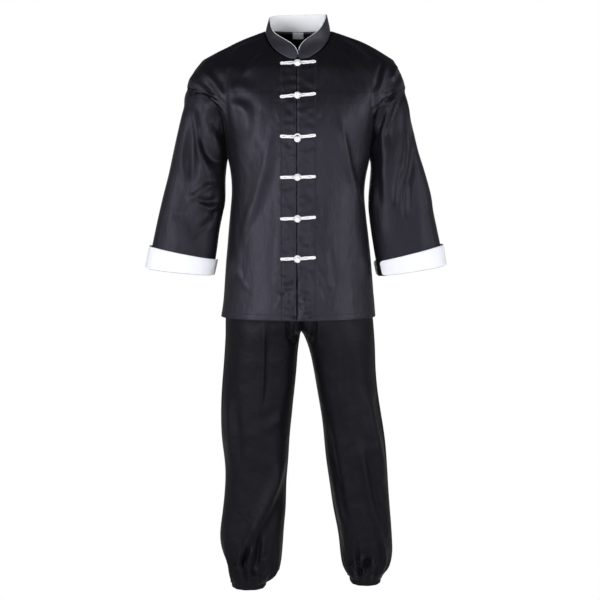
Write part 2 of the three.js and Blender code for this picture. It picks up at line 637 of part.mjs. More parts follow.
// The neck seam by turn from the middle of the back, half a turn being the middle of the front
function neckPoint(turnDegrees) {
  const turn = (turnDegrees * HALF_TURN) / 180;
  const side = turnDegrees < 0 ? RIGHT : LEFT;
  const reach = column(OUTLINE, "z", sideKey(side), 0);
  const towardsFront = -Math.cos(turn);
  const face = towardsFront > 0 ? FRONT : BACK;
  const depth = column(DEPTH, "z", faceKey(face), 0) * Math.abs(towardsFront);
  const drop = face === FRONT ? FRONT_NECK_DROP : BACK_NECK_DROP;
  const z = -drop * Math.abs(towardsFront) ** NECK_CURVE;
  return new THREE.Vector3(reach * Math.sin(turn), face * depth, z);
}

// A ring of the collar: height is a share of its full height, inset is towards the neck
function collarPoint(turnDegrees, share, inset, extraHeight = 0) {
  const base = neckPoint(turnDegrees);
  const height = column(COLLAR, "turn", "height", turnDegrees) + extraHeight;
  const lean = column(COLLAR, "turn", "lean", turnDegrees) * share;
  const inward = new THREE.Vector3(-base.x, -base.y, 0).normalize();
  const clearance = 1.2;
  return base
    .addScaledVector(inward, lean + inset)
    .setZ(base.z + clearance + (height - clearance) * share);
}

function collarWall(thickness, inset, extraHeight) {
  const first = COLLAR[0].turn;
  const last = COLLAR[COLLAR.length - 1].turn;
  const shares = [0, 0.5, 1];
  const grid = shares.map((share) =>
    Array.from({ length: COLLAR_STEPS + 1 }, (_, i) =>
      collarPoint(mix(first, last, i / COLLAR_STEPS), share, inset, extraHeight),
    ),
  );
  const bevel = { start: false, end: false, top: false, bottom: false };
  return wall(grid, thickness, { bevel });
}

function addCollar() {
  addPiece("collar", collarWall(COLLAR_CLOTH, 0.4, 0), BLACK_SATEEN);
  const lining = collarWall(COLLAR_CLOTH, 0.4 + COLLAR_CLOTH + SEAM_GAP + 0.6, PIPING);
  addPiece("collar_lining", lining, WHITE_COTTON);
}

const LABEL = { width: 28, top: -4, bottom: -20, thickness: 0.8, clearance: 2.8 };

function addLabel() {
  const grid = [LABEL.bottom, LABEL.top].map((z) =>
    [-LABEL.width / 2, 0, LABEL.width / 2].map((x) => {
      const depth = jacketDepth(LEFT, BACK, z, Math.abs(x));
      return new THREE.Vector3(x, depth - JACKET_CLOTH - LABEL.clearance, z);
    }),
  );
  const bevel = { start: false, end: false, top: false, bottom: false };
  addPiece("label", wall(grid, LABEL.thickness, { bevel }), WHITE_COTTON);
}

// Frogs: two cords side by side, sewn down on each front; a knot on one side, a loop on the other

function frontSurface(x, z) {
  const side = x < FRONT_EDGE_X ? RIGHT : LEFT;
  const across = Math.abs(x);
  let section = z;
  if (z > YOKE_Z) {
    let low = YOKE_Z;
    let high = 0;
    for (let i = 0; i < 20; i++) {
      section = (low + high) / 2;
      const height = jacketHeight(side, FRONT, section, jacketDepth(side, FRONT, section, across));
      if (height < z) low = section;
      else high = section;
    }
  }
  const folds = viewFolds(JACKET_FOLDS, side, FRONT, across, z);
  return -folds - jacketDepth(side, FRONT, section, across);
}

// The section of the pair of cords: two humps over a flat foot
const CORD_PAIR = [
  { up: 2 * CORD_RADIUS, out: 0 },
  { up: 1.9 * CORD_RADIUS, out: 1.1 * CORD_RADIUS },
  { up: CORD_RADIUS, out: 1.75 * CORD_RADIUS },
  { up: 0, out: 0.9 * CORD_RADIUS },
  { up: -CORD_RADIUS, out: 1.75 * CORD_RADIUS },
  { up: -1.9 * CORD_RADIUS, out: 1.1 * CORD_RADIUS },
  { up: -2 * CORD_RADIUS, out: 0 },
];

function frogPoint(x, z, out) {
  return new THREE.Vector3(x, frontSurface(x, z) - SEAM_GAP - out, z);
}

function frogArm(fromX, toX, fromZ, toZ) {
  const grid = Array.from({ length: FROG_STEPS + 1 }, (_, i) => {
    const s = i / FROG_STEPS;
    const x = mix(fromX, toX, s);
    const z = mix(fromZ, toZ, s ** 0.7);
    const rounded = s > 0.97 ? 0.62 : 1;
    return CORD_PAIR.map(({ up, out }) => frogPoint(x, z + up * rounded, out * rounded));
  });
  const positions = grid.flat().flatMap((point) => point.toArray());
  const count = CORD_PAIR.length;
  const index = [];
  const quad = (a, b, c, d) => index.push(a, b, c, a, c, d);
  for (let i = 0; i < FROG_STEPS; i++) {
    for (let j = 0; j < count; j++) {
      const k = (j + 1) % count;
      quad(i * count + j, i * count + k, (i + 1) * count + k, (i + 1) * count + j);
    }
  }
  for (let j = 1; j < count - 1; j++) {
    index.push(0, j + 1, j);
    const end = FROG_STEPS * count;
    index.push(end, end + j, end + j + 1);
  }
  return solid(positions, index);
}

function addFrog(frog, number) {
  const loopFrom = FRONT_EDGE_X - 7.5;
  const armFrom = FRONT_EDGE_X + 9.5;
  addPiece(`frog_${number}_loop`, frogArm(loopFrom, -FROG_REACH, frog.knotZ, frog.rightZ), WHITE_CORD);
  addPiece(`frog_${number}_arm`, frogArm(armFrom, FROG_REACH, frog.knotZ, frog.leftZ), WHITE_CORD);
  const knot = new THREE.SphereGeometry(KNOT_RADIUS, 10, 7);
  knot.rotateX(QUARTER_TURN);
  knot.scale(1.15, 0.85, 1);
  const foot = (down) => frontSurface(FRONT_EDGE_X, frog.knotZ - down) + down * 0.3;
  const out = Math.min(foot(0), foot(KNOT_RADIUS * 0.6)) - SEAM_GAP - KNOT_RADIUS * 0.84;
  knot.translate(FRONT_EDGE_X + 1.2, out, frog.knotZ);
  addPiece(`frog_${number}_knot`, knot, WHITE_CORD);
}

// Trousers

function trouserRow(side, z) {
  const at = (name) => column(TROUSERS, "z", name, z);
  const outer = side * at(sideKey(side));
  const inner = z > CROTCH_Z ? CROTCH_X : side === RIGHT ? -at("rightIn") : at("leftIn");
  return { outer, inner };
}

// The depth that the jacket leaves for the trousers under it
function insideJacket(x, face, z) {
  const side = x < 0 ? RIGHT : LEFT;
  const level = Math.max(z, JACKET_HEM_Z);
  const reach = jacketReach(side, level);
  const clearance = mix(HIP_CLEARANCE, SIDE_CLEARANCE, (Math.abs(x) / reach) ** 4);
  return Math.max(0, jacketDepth(side, face, level, Math.abs(x)) - clearance);
}

// A point of a leg or hip panel; share runs from the inseam or middle seam to the side seam
function trouserPoint(side, face, z, share) {
  const { outer, inner } = trouserRow(side, z);
  const depth = column(TROUSERS, "z", faceKey(face), z);
  const crest = mix(inner, outer, 0.5);
  const turn = share * HALF_TURN;
  const arc = (value) => Math.abs(value) ** (2 / LEG_ROUNDNESS);
  const innerSide = turn < QUARTER_TURN;
  const x = mix(crest, innerSide ? inner : outer, arc(Math.cos(turn)));
  let out = depth * arc(Math.sin(turn));
  if (z > CROTCH_Z && innerSide) {
    const drop = clamp01((CROTCH_CURVE_TOP_Z - z) / (CROTCH_CURVE_TOP_Z - CROTCH_Z));
    const seamOut = depth * Math.sqrt(1 - drop * drop);
    out = mix(seamOut, depth, arc(Math.sin(turn)));
  }
  if (z > CROTCH_Z && !innerSide) out = depth * Math.sin(turn) ** 0.8;
  const edgeFade = smoothstep(0, 0.14, share) * smoothstep(1, 0.86, share);
  out += viewFolds(TROUSER_FOLDS, side, face, Math.abs(x), z) * edgeFade;
  const room = insideJacket(x, face, z);
  out = mix(Math.min(out, room), out, smoothstep(JACKET_HEM_Z - 12, JACKET_HEM_Z - 70, z));
  const lift = ANKLE_LIFT[side] * smoothstep(-900, -1440, z);
  return new THREE.Vector3(x, face * out, z + lift);
}

// The ankle elastic draws every other column in
function gather(point, axis, c, z) {
  const strength = smoothstep(GATHER_TOP_Z, TROUSER_LEVELS.at(-1), z);
  const away = point.clone().sub(axis).setZ(0).normalize();
  const wave = c % 2 === 0 ? 0.45 : -1;
  point.addScaledVector(away, wave * GATHER_DEPTH * strength * 0.5);
}

function trouserGrid(side, face) {
  return TROUSER_LEVELS.map((z) => {
    const { outer, inner } = trouserRow(side, z);
    const axis = new THREE.Vector3((outer + inner) / 2, 0, z);
    const row = Array.from({ length: TROUSER_COLUMNS + 1 }, (_, c) => {
      const point = trouserPoint(side, face, z, c / TROUSER_COLUMNS);
      gather(point, axis, c, z);
      return point;
    });
    trim(row[0], row[1]);
    if (z >= CROTCH_Z) row[0].x += side * SEAM_GAP * 0.5;
    trim(row[TROUSER_COLUMNS], row[TROUSER_COLUMNS - 1]);
    return row;
  });
}

function addTrouserLeg(side) {
  for (const face of [FRONT, BACK]) {
    const grid = trouserGrid(side, face);
    const name = `trouser_${faceKey(face)}_${sideKey(side)}`;
    addPiece(name, wall(grid, TROUSER_CLOTH), BLACK_COTTON);
  }
}

function ringWall(points, thickness) {
  return wall(points, thickness, { wraps: true, bevel: { top: false, bottom: false } });
}

// A band continues a ring of the panels' own edge points, narrowed towards its far edge
function bandWall(ring, step, height, rows, narrowing) {
  const middle = ring.reduce((sum, point) => sum.add(point), new THREE.Vector3());
  middle.divideScalar(ring.length);
  const grid = Array.from({ length: rows }, (_, r) => {
    const share = r / (rows - 1);
    return ring.map((point) => {
      const away = point.clone().sub(middle).setZ(0);
      const next = point.clone().addScaledVector(away, -narrowing * share);
      next.z += step + height * share;
      return next;
    });
  });
  return ringWall(grid, TROUSER_CLOTH);
}

function addAnkleBand(side) {
  const front = trouserGrid(side, FRONT).at(-1);
  const back = trouserGrid(side, BACK).at(-1);
  const ring = [...front, ...back.slice(1, -1).reverse()];
  const geometry = bandWall(ring, -SEAM_GAP, -ANKLE_BAND_HEIGHT, 3, 0.07);
  addPiece(`ankle_band_${sideKey(side)}`, geometry, BLACK_COTTON);
}

function addWaistband() {
  const top = (side, face) => trouserGrid(side, face)[0];
  const ring = [
    ...top(RIGHT, FRONT).reverse(),
    ...top(LEFT, FRONT).slice(1),
    ...top(LEFT, BACK).reverse().slice(1),
    ...top(RIGHT, BACK).slice(1, -1),
  ];
  addPiece("waistband", bandWall(ring, 1.5 * SEAM_GAP, WAISTBAND_HEIGHT, 2, 0.04), BLACK_COTTON);
}

addJacketBody();
for (const side of [RIGHT, LEFT]) {
  addSleeve(side);
  addCuff(side);
}
addCollar();
addLabel();
FROGS.forEach((frog, i) => addFrog(frog, i + 1));
for (const side of [RIGHT, LEFT]) {
  addTrouserLeg(side);
  addAnkleBand(side);
}
addWaistband();

export default uniform;
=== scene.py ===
import math

import bmesh
import bpy
import numpy as np
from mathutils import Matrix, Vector
from mathutils.bvhtree import BVHTree
from mathutils.kdtree import KDTree


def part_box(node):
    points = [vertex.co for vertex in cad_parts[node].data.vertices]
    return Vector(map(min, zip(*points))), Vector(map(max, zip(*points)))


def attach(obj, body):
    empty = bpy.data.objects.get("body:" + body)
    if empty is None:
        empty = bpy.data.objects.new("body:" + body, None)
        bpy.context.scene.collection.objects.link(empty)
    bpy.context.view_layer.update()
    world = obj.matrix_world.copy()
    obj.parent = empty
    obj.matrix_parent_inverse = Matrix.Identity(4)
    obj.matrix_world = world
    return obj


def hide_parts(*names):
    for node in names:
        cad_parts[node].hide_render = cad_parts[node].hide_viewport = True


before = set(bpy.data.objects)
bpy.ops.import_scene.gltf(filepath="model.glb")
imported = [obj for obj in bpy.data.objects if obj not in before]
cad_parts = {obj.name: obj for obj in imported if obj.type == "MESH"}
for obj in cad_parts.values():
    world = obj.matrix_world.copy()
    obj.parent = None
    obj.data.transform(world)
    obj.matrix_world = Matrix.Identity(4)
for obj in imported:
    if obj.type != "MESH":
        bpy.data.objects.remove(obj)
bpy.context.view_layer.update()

# The jacket's two fronts and its back, cut from black cotton sateen and sewn
# together at the shoulders and down the sides to the vents. The wearer's left
# front lies on top at the centre, over a tucked-in strip of the right one.

# Corners of the solids that are nearer than this, in metres, are one corner.
same_corner = 2e-5


def opened(data):
    """A bmesh of an object's mesh data."""
    bm = bmesh.new()
    bm.from_mesh(data)
    return bm


def body_core(place):
    """The point inside the jacket's body that is nearest to a place on it."""
    half = 0.16 if place.z > -0.14 else 0.10
    return Vector((max(-half, min(half, place.x)), 0.0, min(place.z, -0.13)))


def outer_face(node_name, core):
    """A bmesh of the side of a cloth wall that faces away from the wearer."""
    bm = opened(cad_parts[node_name].data)
    bmesh.ops.remove_doubles(bm, verts=bm.verts, dist=same_corner)
    bm.normal_update()
    unseen = set()
    for face in bm.faces:
        middle = face.calc_center_median()
        if face.normal.dot(middle - core(middle)) > 0:
            unseen.add(face)
    best = (-1e9, ())
    for first in list(bm.faces):
        if first not in unseen:
            continue
        unseen.remove(first)
        region = [first]
        outward = 0.0
        for face in region:
            outward += face.calc_area()
            for edge in face.edges:
                for other in edge.link_faces:
                    if other in unseen and face.normal.angle(other.normal, 3.0) < 0.99:
                        unseen.remove(other)
                        region.append(other)
        if outward > best[0]:
            best = (outward, region)
    kept = set(best[1])
    bmesh.ops.delete(bm, geom=[f for f in bm.faces if f not in kept], context="FACES")
    bmesh.ops.join_triangles(bm, faces=bm.faces[:], angle_face_threshold=3.1, angle_shape_threshold=3.1)
    return bm


def soften(piece, low, high, times):
    """Relaxes the cloth between two heights, away from its cut edges."""
    bm = opened(piece.data)
    for reach in (1.0, 0.6):
        middle = (low + high) / 2
        half = (high - low) / 2 * reach
        loose = [v for v in bm.verts if not v.is_boundary and abs(v.co.z - middle) < half]
        for _ in range(times):
            bmesh.ops.smooth_vert(
                bm, verts=loose, factor=0.5, use_axis_x=True, use_axis_y=True, use_axis_z=True
            )
    bm.to_mesh(piece.data)
    bm.free()


def keep_corners(bm):
    """Marks the sharp turns of a cut edge, so that smoothing doesn't pull them in."""
    marks = bm.verts.layers.float.new("crease_vert")
    for vert in bm.verts:
        ends = [edge.other_vert(vert).co - vert.co for edge in vert.link_edges if edge.is_boundary]
        if len(ends) == 2:
            turn = math.pi - ends[0].angle(ends[1], math.pi)
            vert[marks] = min(1.0, turn / 0.7) if turn > 0.2 else 0.0


def new_object(name, data):
    """A new object in the scene."""
    made = bpy.data.objects.new(name, data)
    bpy.context.scene.collection.objects.link(made)
    return made


def smooth_piece(name, bm, levels):
    """A new object of a bmesh, with its smooth subdivision made real."""
    keep_corners(bm)
    mesh = bpy.data.meshes.new(name)
    bm.to_mesh(mesh)
    bm.free()
    piece = new_object(name, mesh)
    smooth = piece.modifiers.new("smooth", "SUBSURF")
    smooth.levels = levels
    smooth.render_levels = levels
    smooth.boundary_smooth = "PRESERVE_CORNERS"
    seen = piece.evaluated_get(bpy.context.evaluated_depsgraph_get())
    piece.data = bpy.data.meshes.new_from_object(seen)
    piece.modifiers.clear()
    piece.data.shade_smooth()
    return piece


def spots(piece):
    """Every point of a piece, as rows of x, y and z."""
    found = np.empty(len(piece.data.vertices) * 3)
    piece.data.vertices.foreach_get("co", found)
    return found.reshape(-1, 3)


def facings(piece):
    """The outward direction at every point of a piece."""
    found = np.empty(len(piece.data.vertices) * 3)
    piece.data.vertices.foreach_get("normal", found)
    return found.reshape(-1, 3)


def move_to(piece, points):
    """Moves every point of a piece to a new place."""
    piece.data.vertices.foreach_set("co", points.ravel())
    piece.data.update()


def cut_rim(piece, chosen):
    """The numbers of the points on a piece's cut edges that are chosen."""
    bm = opened(piece.data)
    rim = [v.index for v in bm.verts if v.is_boundary and chosen(v.co)]
    bm.free()
    return rim


def tree_of(places):
    """A search tree of places, to find the nearest one."""
    tree = KDTree(len(places))
    for index, place in enumerate(places):
        tree.insert(place, index)
    tree.balance()
    return tree


def edge_gap(piece, chosen):
    """Metres from each point to the nearest point of the cut edges that are chosen."""
    points = spots(piece)
    tree = tree_of(points[cut_rim(piece, chosen)])
    return np.array([tree.find(point)[2] for point in points])


def note(piece, name, values):
    """Keeps one number a point on the piece, for its material to read."""
    layer = piece.data.attributes.new(name, "FLOAT", "POINT")
    layer.data.foreach_set("value", values.astype(np.float32))


def lay_threads(piece, top, bottom, half_wide, half_deep):
    """Gives cloth its thread directions, in metres round the piece and down it."""
    top = np.array(top)
    down = np.array(bottom) - top
    down /= np.linalg.norm(down)
    side = np.array((1.0, 0.0, 0.0)) - down * down[0]
    side /= np.linalg.norm(side)
    front = np.cross(down, side)
    away = spots(piece) - top
    turn = np.arctan2(away @ front / half_deep, away @ side / half_wide)
    steps = np.linspace(-math.pi, math.pi, 721)
    pace = np.hypot(half_wide * np.sin(steps), half_deep * np.cos(steps))
    run = np.cumsum(pace) * (steps[1] - steps[0])
    across = np.interp(turn, steps, run)
    along = away @ down
    corners = np.empty(len(piece.data.loops), dtype=np.int32)
    piece.data.loops.foreach_get("vertex_index", corners)
    across = across[corners].reshape(-1, 4)
    across[across < across.max(axis=1, keepdims=True) - run[-1] / 2] += run[-1]
    threads = np.column_stack((across.ravel(), along[corners]))
    layer = piece.data.uv_layers.new(name="cloth")
    layer.data.foreach_set("uv", threads.ravel().astype(np.float32))


def soft_step(values, low, high):
    """0 below low and 1 above high, with a smooth slope between."""
    part = np.clip((values - low) / (high - low), 0, 1)
    return part * part * (3 - 2 * part)


def ridge(flat, line, wide, high):
    """How far a crease along a line of (x, z) marks lifts the cloth, in metres.

    The line's corners are cut twice, which rounds it. The crease dies away over
    the last 0.3 of its length at both ends, and a shallow trough runs beside it.
    """
    line = np.array(line) / 1000
    for _ in range(2):
        cuts = [line[:1]]
        for start, end in zip(line, line[1:]):
            cuts.append([start * 0.75 + end * 0.25, start * 0.25 + end * 0.75])
        line = np.vstack(cuts + [line[-1:]])
    wide /= 1000
    lengths = np.linalg.norm(np.diff(line, axis=0), axis=1)
    nearest = np.full(len(flat), 9.0)
    along = np.zeros(len(flat))
    side = np.ones(len(flat))
    run = 0.0
    for start, end, length in zip(line, line[1:], lengths):
        step = (end - start) / length
        off = flat - start
        reach = np.clip(off @ step, 0, length)
        gap = np.linalg.norm(off - reach[:, None] * step, axis=1)
        near = gap < nearest
        nearest[near] = gap[near]
        along[near] = (run + reach[near]) / lengths.sum()
        side[near] = np.sign(step[0] * off[near, 1] - step[1] * off[near, 0])
        run += length
    fade = soft_step(np.minimum(along, 1 - along), 0, 0.3)
    top = np.exp(-((nearest / wide) ** 2))
    trough = np.exp(-(((side * nearest - 1.9 * wide) / (1.1 * wide)) ** 2))
    return high / 1000 * fade * (top - 0.55 * trough)


def drift(points, size, seed, stretch=0.4):
    """Soft uneven waves of a given size in metres, which run more down than across."""
    picks = np.random.default_rng(seed)
    scaled = points * np.array((1.0, 1.0, stretch))
    total = np.zeros(len(points))
    for _ in range(16):
        way = picks.normal(size=3)
        way /= np.linalg.norm(way)
        length = size * picks.uniform(0.7, 1.7)
        total += np.sin(scaled @ way * 2 * math.pi / length + picks.uniform(0, 6.28))
    return total / 4


def press_folds(piece, front_folds, back_folds, waves, limits):
    """Moves the cloth along its own outward direction, by its folds and soft waves.

    The directions are first evened out with those of the neighbouring points, so
    that a fold doesn't break up where the form turns sharply.
    """
    evening_rounds = 14
    points = spots(piece)
    outward = facings(piece)
    ends = np.empty(len(piece.data.edges) * 2, dtype=np.int32)
    piece.data.edges.foreach_get("vertices", ends)
    first = np.concatenate((ends[0::2], ends[1::2]))
    second = np.concatenate((ends[1::2], ends[0::2]))
    for _ in range(evening_rounds):
        for axis in range(3):
            outward[:, axis] += np.bincount(first, outward[second, axis], len(outward))
        outward /= np.linalg.norm(outward, axis=1)[:, None]
    flat = points[:, [0, 2]]
    to_front = np.clip(0.5 - 1.4 * outward[:, 1], 0, 1)
    lift = np.zeros(len(points))
    for wide, high, line in front_folds:
        lift += to_front * ridge(flat, line, wide, high)
    for wide, high, line in back_folds:
        lift += (1 - to_front) * ridge(flat, line, wide, high)
    for size, high, seed in waves:
        lift += high / 1000 * drift(points, size, seed)
    lift = limits(points, lift)
    move_to(piece, points + outward * lift[:, None])


def thicken(piece):
    """Gives a single face of cloth its thickness, towards the wearer."""
    wall = piece.modifiers.new("cloth thickness", "SOLIDIFY")
    wall.thickness = 0.0009
    wall.offset = -1


def settle(piece, node_name):
    """Puts a finished piece in the place of its solid."""
    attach(piece, "root")
    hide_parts(node_name)


# The cloth beside a seam follows it up to this far away, in metres.
seam_pull = 0.030


def meet(piece, others, chosen, reach_out):
    """Draws the cut edge of a piece onto the edges of the pieces that it is sewn to."""
    starts = []
    ends = []
    for other in others:
        bm = opened(other.data)
        for edge in bm.edges:
            if edge.is_boundary and chosen(edge.verts[0].co):
                starts.append(edge.verts[0].co[:])
                ends.append(edge.verts[1].co[:])
        bm.free()
    starts = np.array(starts)
    ways = np.array(ends) - starts
    squares = (ways ** 2).sum(axis=1) + 1e-12
    points = spots(piece)
    rim = points[cut_rim(piece, chosen)]
    pulls = []
    for place in rim:
        reach = np.clip(((place - starts) * ways).sum(axis=1) / squares, 0, 1)
        near = starts + reach[:, None] * ways - place
        gaps = np.linalg.norm(near, axis=1)
        pulls.append(near[gaps.argmin()] * (gaps.min() < reach_out))
    tree = tree_of(rim)
    for index, point in enumerate(points):
        _, spot, gap = tree.find(point)
        if gap < seam_pull:
            points[index] += pulls[spot] * (1 - gap / seam_pull) ** 2
    move_to(piece, points)


def node(tree, kind, inputs=(), **settings):
    """A new shader node, with its inputs linked or given values."""
    new = tree.nodes.new("ShaderNode" + kind)
    for name, value in settings.items():
        setattr(new, name, value)
    for place, value in dict(inputs).items():
        if isinstance(value, bpy.types.NodeSocket):
            tree.links.new(value, new.inputs[place])
        else:
            new.inputs[place].default_value = value
    return new


def maths(tree, operation, *values):
    """The result of a math node."""
    return node(tree, "Math", dict(enumerate(values)), operation=operation).outputs[0]


def sum_of(tree, first, second, by):
    """A value plus another value times a number."""
    return maths(tree, "MULTIPLY_ADD", second, by, first)


def new_group(name, inputs, outputs):
    """An empty shader node group with named inputs and outputs."""
    tree = bpy.data.node_groups.new(name, "ShaderNodeTree")
    for title, kind, value in inputs:
        made = tree.interface.new_socket(title, in_out="INPUT", socket_type="NodeSocket" + kind)
        if value is not None:
            made.default_value = value
    for title in outputs:
        tree.interface.new_socket(title, in_out="OUTPUT", socket_type="NodeSocketFloat")
    return tree, tree.nodes.new("NodeGroupInput").outputs, tree.nodes.new("NodeGroupOutput").inputs


# Weave: fine threads across the cloth, long soft crumples down it, and a slow change of tone.
weave, given, wanted = new_group(
    "woven cloth",
    [("Threads", "Vector", None), ("Count", "Float", 3000.0), ("Crumple size", "Float", 16.0)],
    ["Weave", "Crumple", "Tone"],
)
fine = node(weave, "VectorMath", {0: given["Threads"], "Scale": given["Count"]}, operation="SCALE")
slubs = node(weave, "Mapping", {"Vector": fine.outputs[0], "Scale": (0.5, 0.06, 1)})
slub = node(weave, "TexNoise", {"Vector": slubs.outputs[0], "Scale": 1.0, "Detail": 1.0})
warp = node(weave, "TexWave", {"Vector": fine.outputs[0], "Scale": 0.16, "Distortion": 1.2})
mixed = sum_of(weave, slub.outputs["Fac"], warp.outputs["Fac"], 0.6)
weave.links.new(mixed, wanted["Weave"])
long_way = node(weave, "Mapping", {"Vector": given["Threads"], "Scale": (1.0, 0.42, 1)})
crumple = node(
    weave,
    "TexNoise",
    {"Vector": long_way.outputs[0], "Scale": given["Crumple size"], "Detail": 2.5,
     "Roughness": 0.42, "Distortion": 0.35},
)
weave.links.new(crumple.outputs["Fac"], wanted["Crumple"])
blotches = {"Vector": long_way.outputs[0], "Scale": 60.0, "Detail": 4.0, "Roughness": 0.55}
tone = node(weave, "TexNoise", blotches)
weave.links.new(tone.outputs["Fac"], wanted["Tone"])

# A row of stitches: a shallow groove in the cloth with short raised threads in it.
stitches, given, wanted = new_group(
    "row of stitches",
    [("Gap", "Float", 0.0), ("Along", "Float", 0.0), ("Length", "Float", 0.003)],
    ["Height"],
)
groove_width = 0.0011
squeezed = maths(stitches, "DIVIDE", given["Gap"], groove_width)
squared = maths(stitches, "MULTIPLY", squeezed, squeezed)
negative = maths(stitches, "MULTIPLY", squared, -1.0)
groove = maths(stitches, "EXPONENT", negative)
tight = maths(stitches, "MULTIPLY", negative, 7.0)
line = maths(stitches, "EXPONENT", tight)
steps = maths(stitches, "DIVIDE", given["Along"], given["Length"])
beat = maths(stitches, "PINGPONG", steps, 1.0)
on = maths(stitches, "GREATER_THAN", beat, 0.35)
thread = maths(stitches, "MULTIPLY", line, on)
sunk = maths(stitches, "MULTIPLY", groove, -1.0)
stitches.links.new(sum_of(stitches, sunk, thread, 0.6), wanted["Height"])


def pucker(tree, threads, gap):
    """Short crosswise puckers that a sewn edge draws into the cloth beside it."""
    noise = node(tree, "TexNoise", {"Vector": threads, "Scale": 55.0, "Detail": 1.0})
    near = node(
        tree, "MapRange", {0: gap, 1: 0.002, 2: 0.026, 3: 1.0, 4: 0.0}, interpolation_type="SMOOTHERSTEP"
    )
    return maths(tree, "MULTIPLY", noise.outputs["Fac"], near.outputs[0])


def new_material(name, fixed):
    """A new material, its node tree and its shader, with the values that don't vary."""
    material = bpy.data.materials.new(name)
    material.use_nodes = True
    shader = material.node_tree.nodes["Principled BSDF"]
    for title, value in fixed.items():
        shader.inputs[title].default_value = value
    return material, material.node_tree, shader


def finish_cloth(tree, shader, height, shade, dark, light, dull):
    """Joins a cloth's relief, its two colours and its roughness to its shader."""
    bump = node(tree, "Bump", {"Height": height, "Distance": 1.0})
    colour = node(tree, "Mix", {0: shade, 6: (*dark, 1), 7: (*light, 1)}, data_type="RGBA")
    tree.links.new(bump.outputs[0], shader.inputs["Normal"])
    tree.links.new(colour.outputs[2], shader.inputs["Base Color"])
    tree.links.new(dull, shader.inputs["Roughness"])


def between(tree, value, low, high):
    """A value of 0 to 1, spread between two others."""
    return node(tree, "MapRange", {0: value, 3: low, 4: high}).outputs[0]


BLACK_DARK = (0.0035, 0.0030, 0.0042)
BLACK_LIGHT = (0.0060, 0.0052, 0.0075)
BLACK_SHINE = (0.79, 0.78, 1.0)
stitch_from_hem = 0.016


def sateen(name, facing=None, gloss=0.35):
    """Black cotton sateen: close long-floated threads with a broad soft sheen."""
    fixed = {
        "Specular IOR Level": gloss,
        "Specular Tint": (*BLACK_SHINE, 1),
        "Sheen Weight": 0.05,
        "Sheen Roughness": 0.35,
        "Sheen Tint": (0.78, 0.80, 1.0, 1),
    }
    material, tree, shader = new_material(name, fixed)
    threads = node(tree, "UVMap", uv_map="cloth").outputs[0]
    cloth = node(tree, "Group", {"Threads": threads, "Crumple size": 15.0}, node_tree=weave)
    hem = node(tree, "Attribute", attribute_name="hem").outputs["Fac"]
    seam = node(tree, "Attribute", attribute_name="seam").outputs["Fac"]
    spot = node(tree, "SeparateXYZ", {0: node(tree, "TexCoord").outputs["Object"]}).outputs
    along = maths(tree, "ADD", spot["X"], spot["Z"])
    from_hem = maths(tree, "SUBTRACT", hem, stitch_from_hem)
    hem_row = node(tree, "Group", {"Gap": from_hem, "Along": along}, node_tree=stitches)
    height = maths(tree, "MULTIPLY", cloth.outputs["Weave"], 0.00003)
    height = sum_of(tree, height, cloth.outputs["Crumple"], 0.0034)
    height = sum_of(tree, height, cloth.outputs["Tone"], 0.0015)
    height = sum_of(tree, height, hem_row.outputs["Height"], 0.0003)
    height = sum_of(tree, height, pucker(tree, threads, seam), 0.0016)
    height = sum_of(tree, height, pucker(tree, threads, hem), 0.0010)
    dull = between(tree, cloth.outputs["Tone"], 0.40, 0.52)
    if facing is not None:
        from_facing = maths(tree, "SUBTRACT", spot["X"], facing)
        row = node(tree, "Group", {"Gap": from_facing, "Along": spot["Z"]}, node_tree=stitches)
        height = sum_of(tree, height, row.outputs["Height"], 0.00045)
        away = maths(tree, "ABSOLUTE", from_facing)
        height = sum_of(tree, height, pucker(tree, threads, away), 0.0016)
        dull = sum_of(tree, dull, row.outputs["Height"], -0.35)
    finish_cloth(tree, shader, height, cloth.outputs["Tone"], BLACK_DARK, BLACK_LIGHT, dull)
    return material


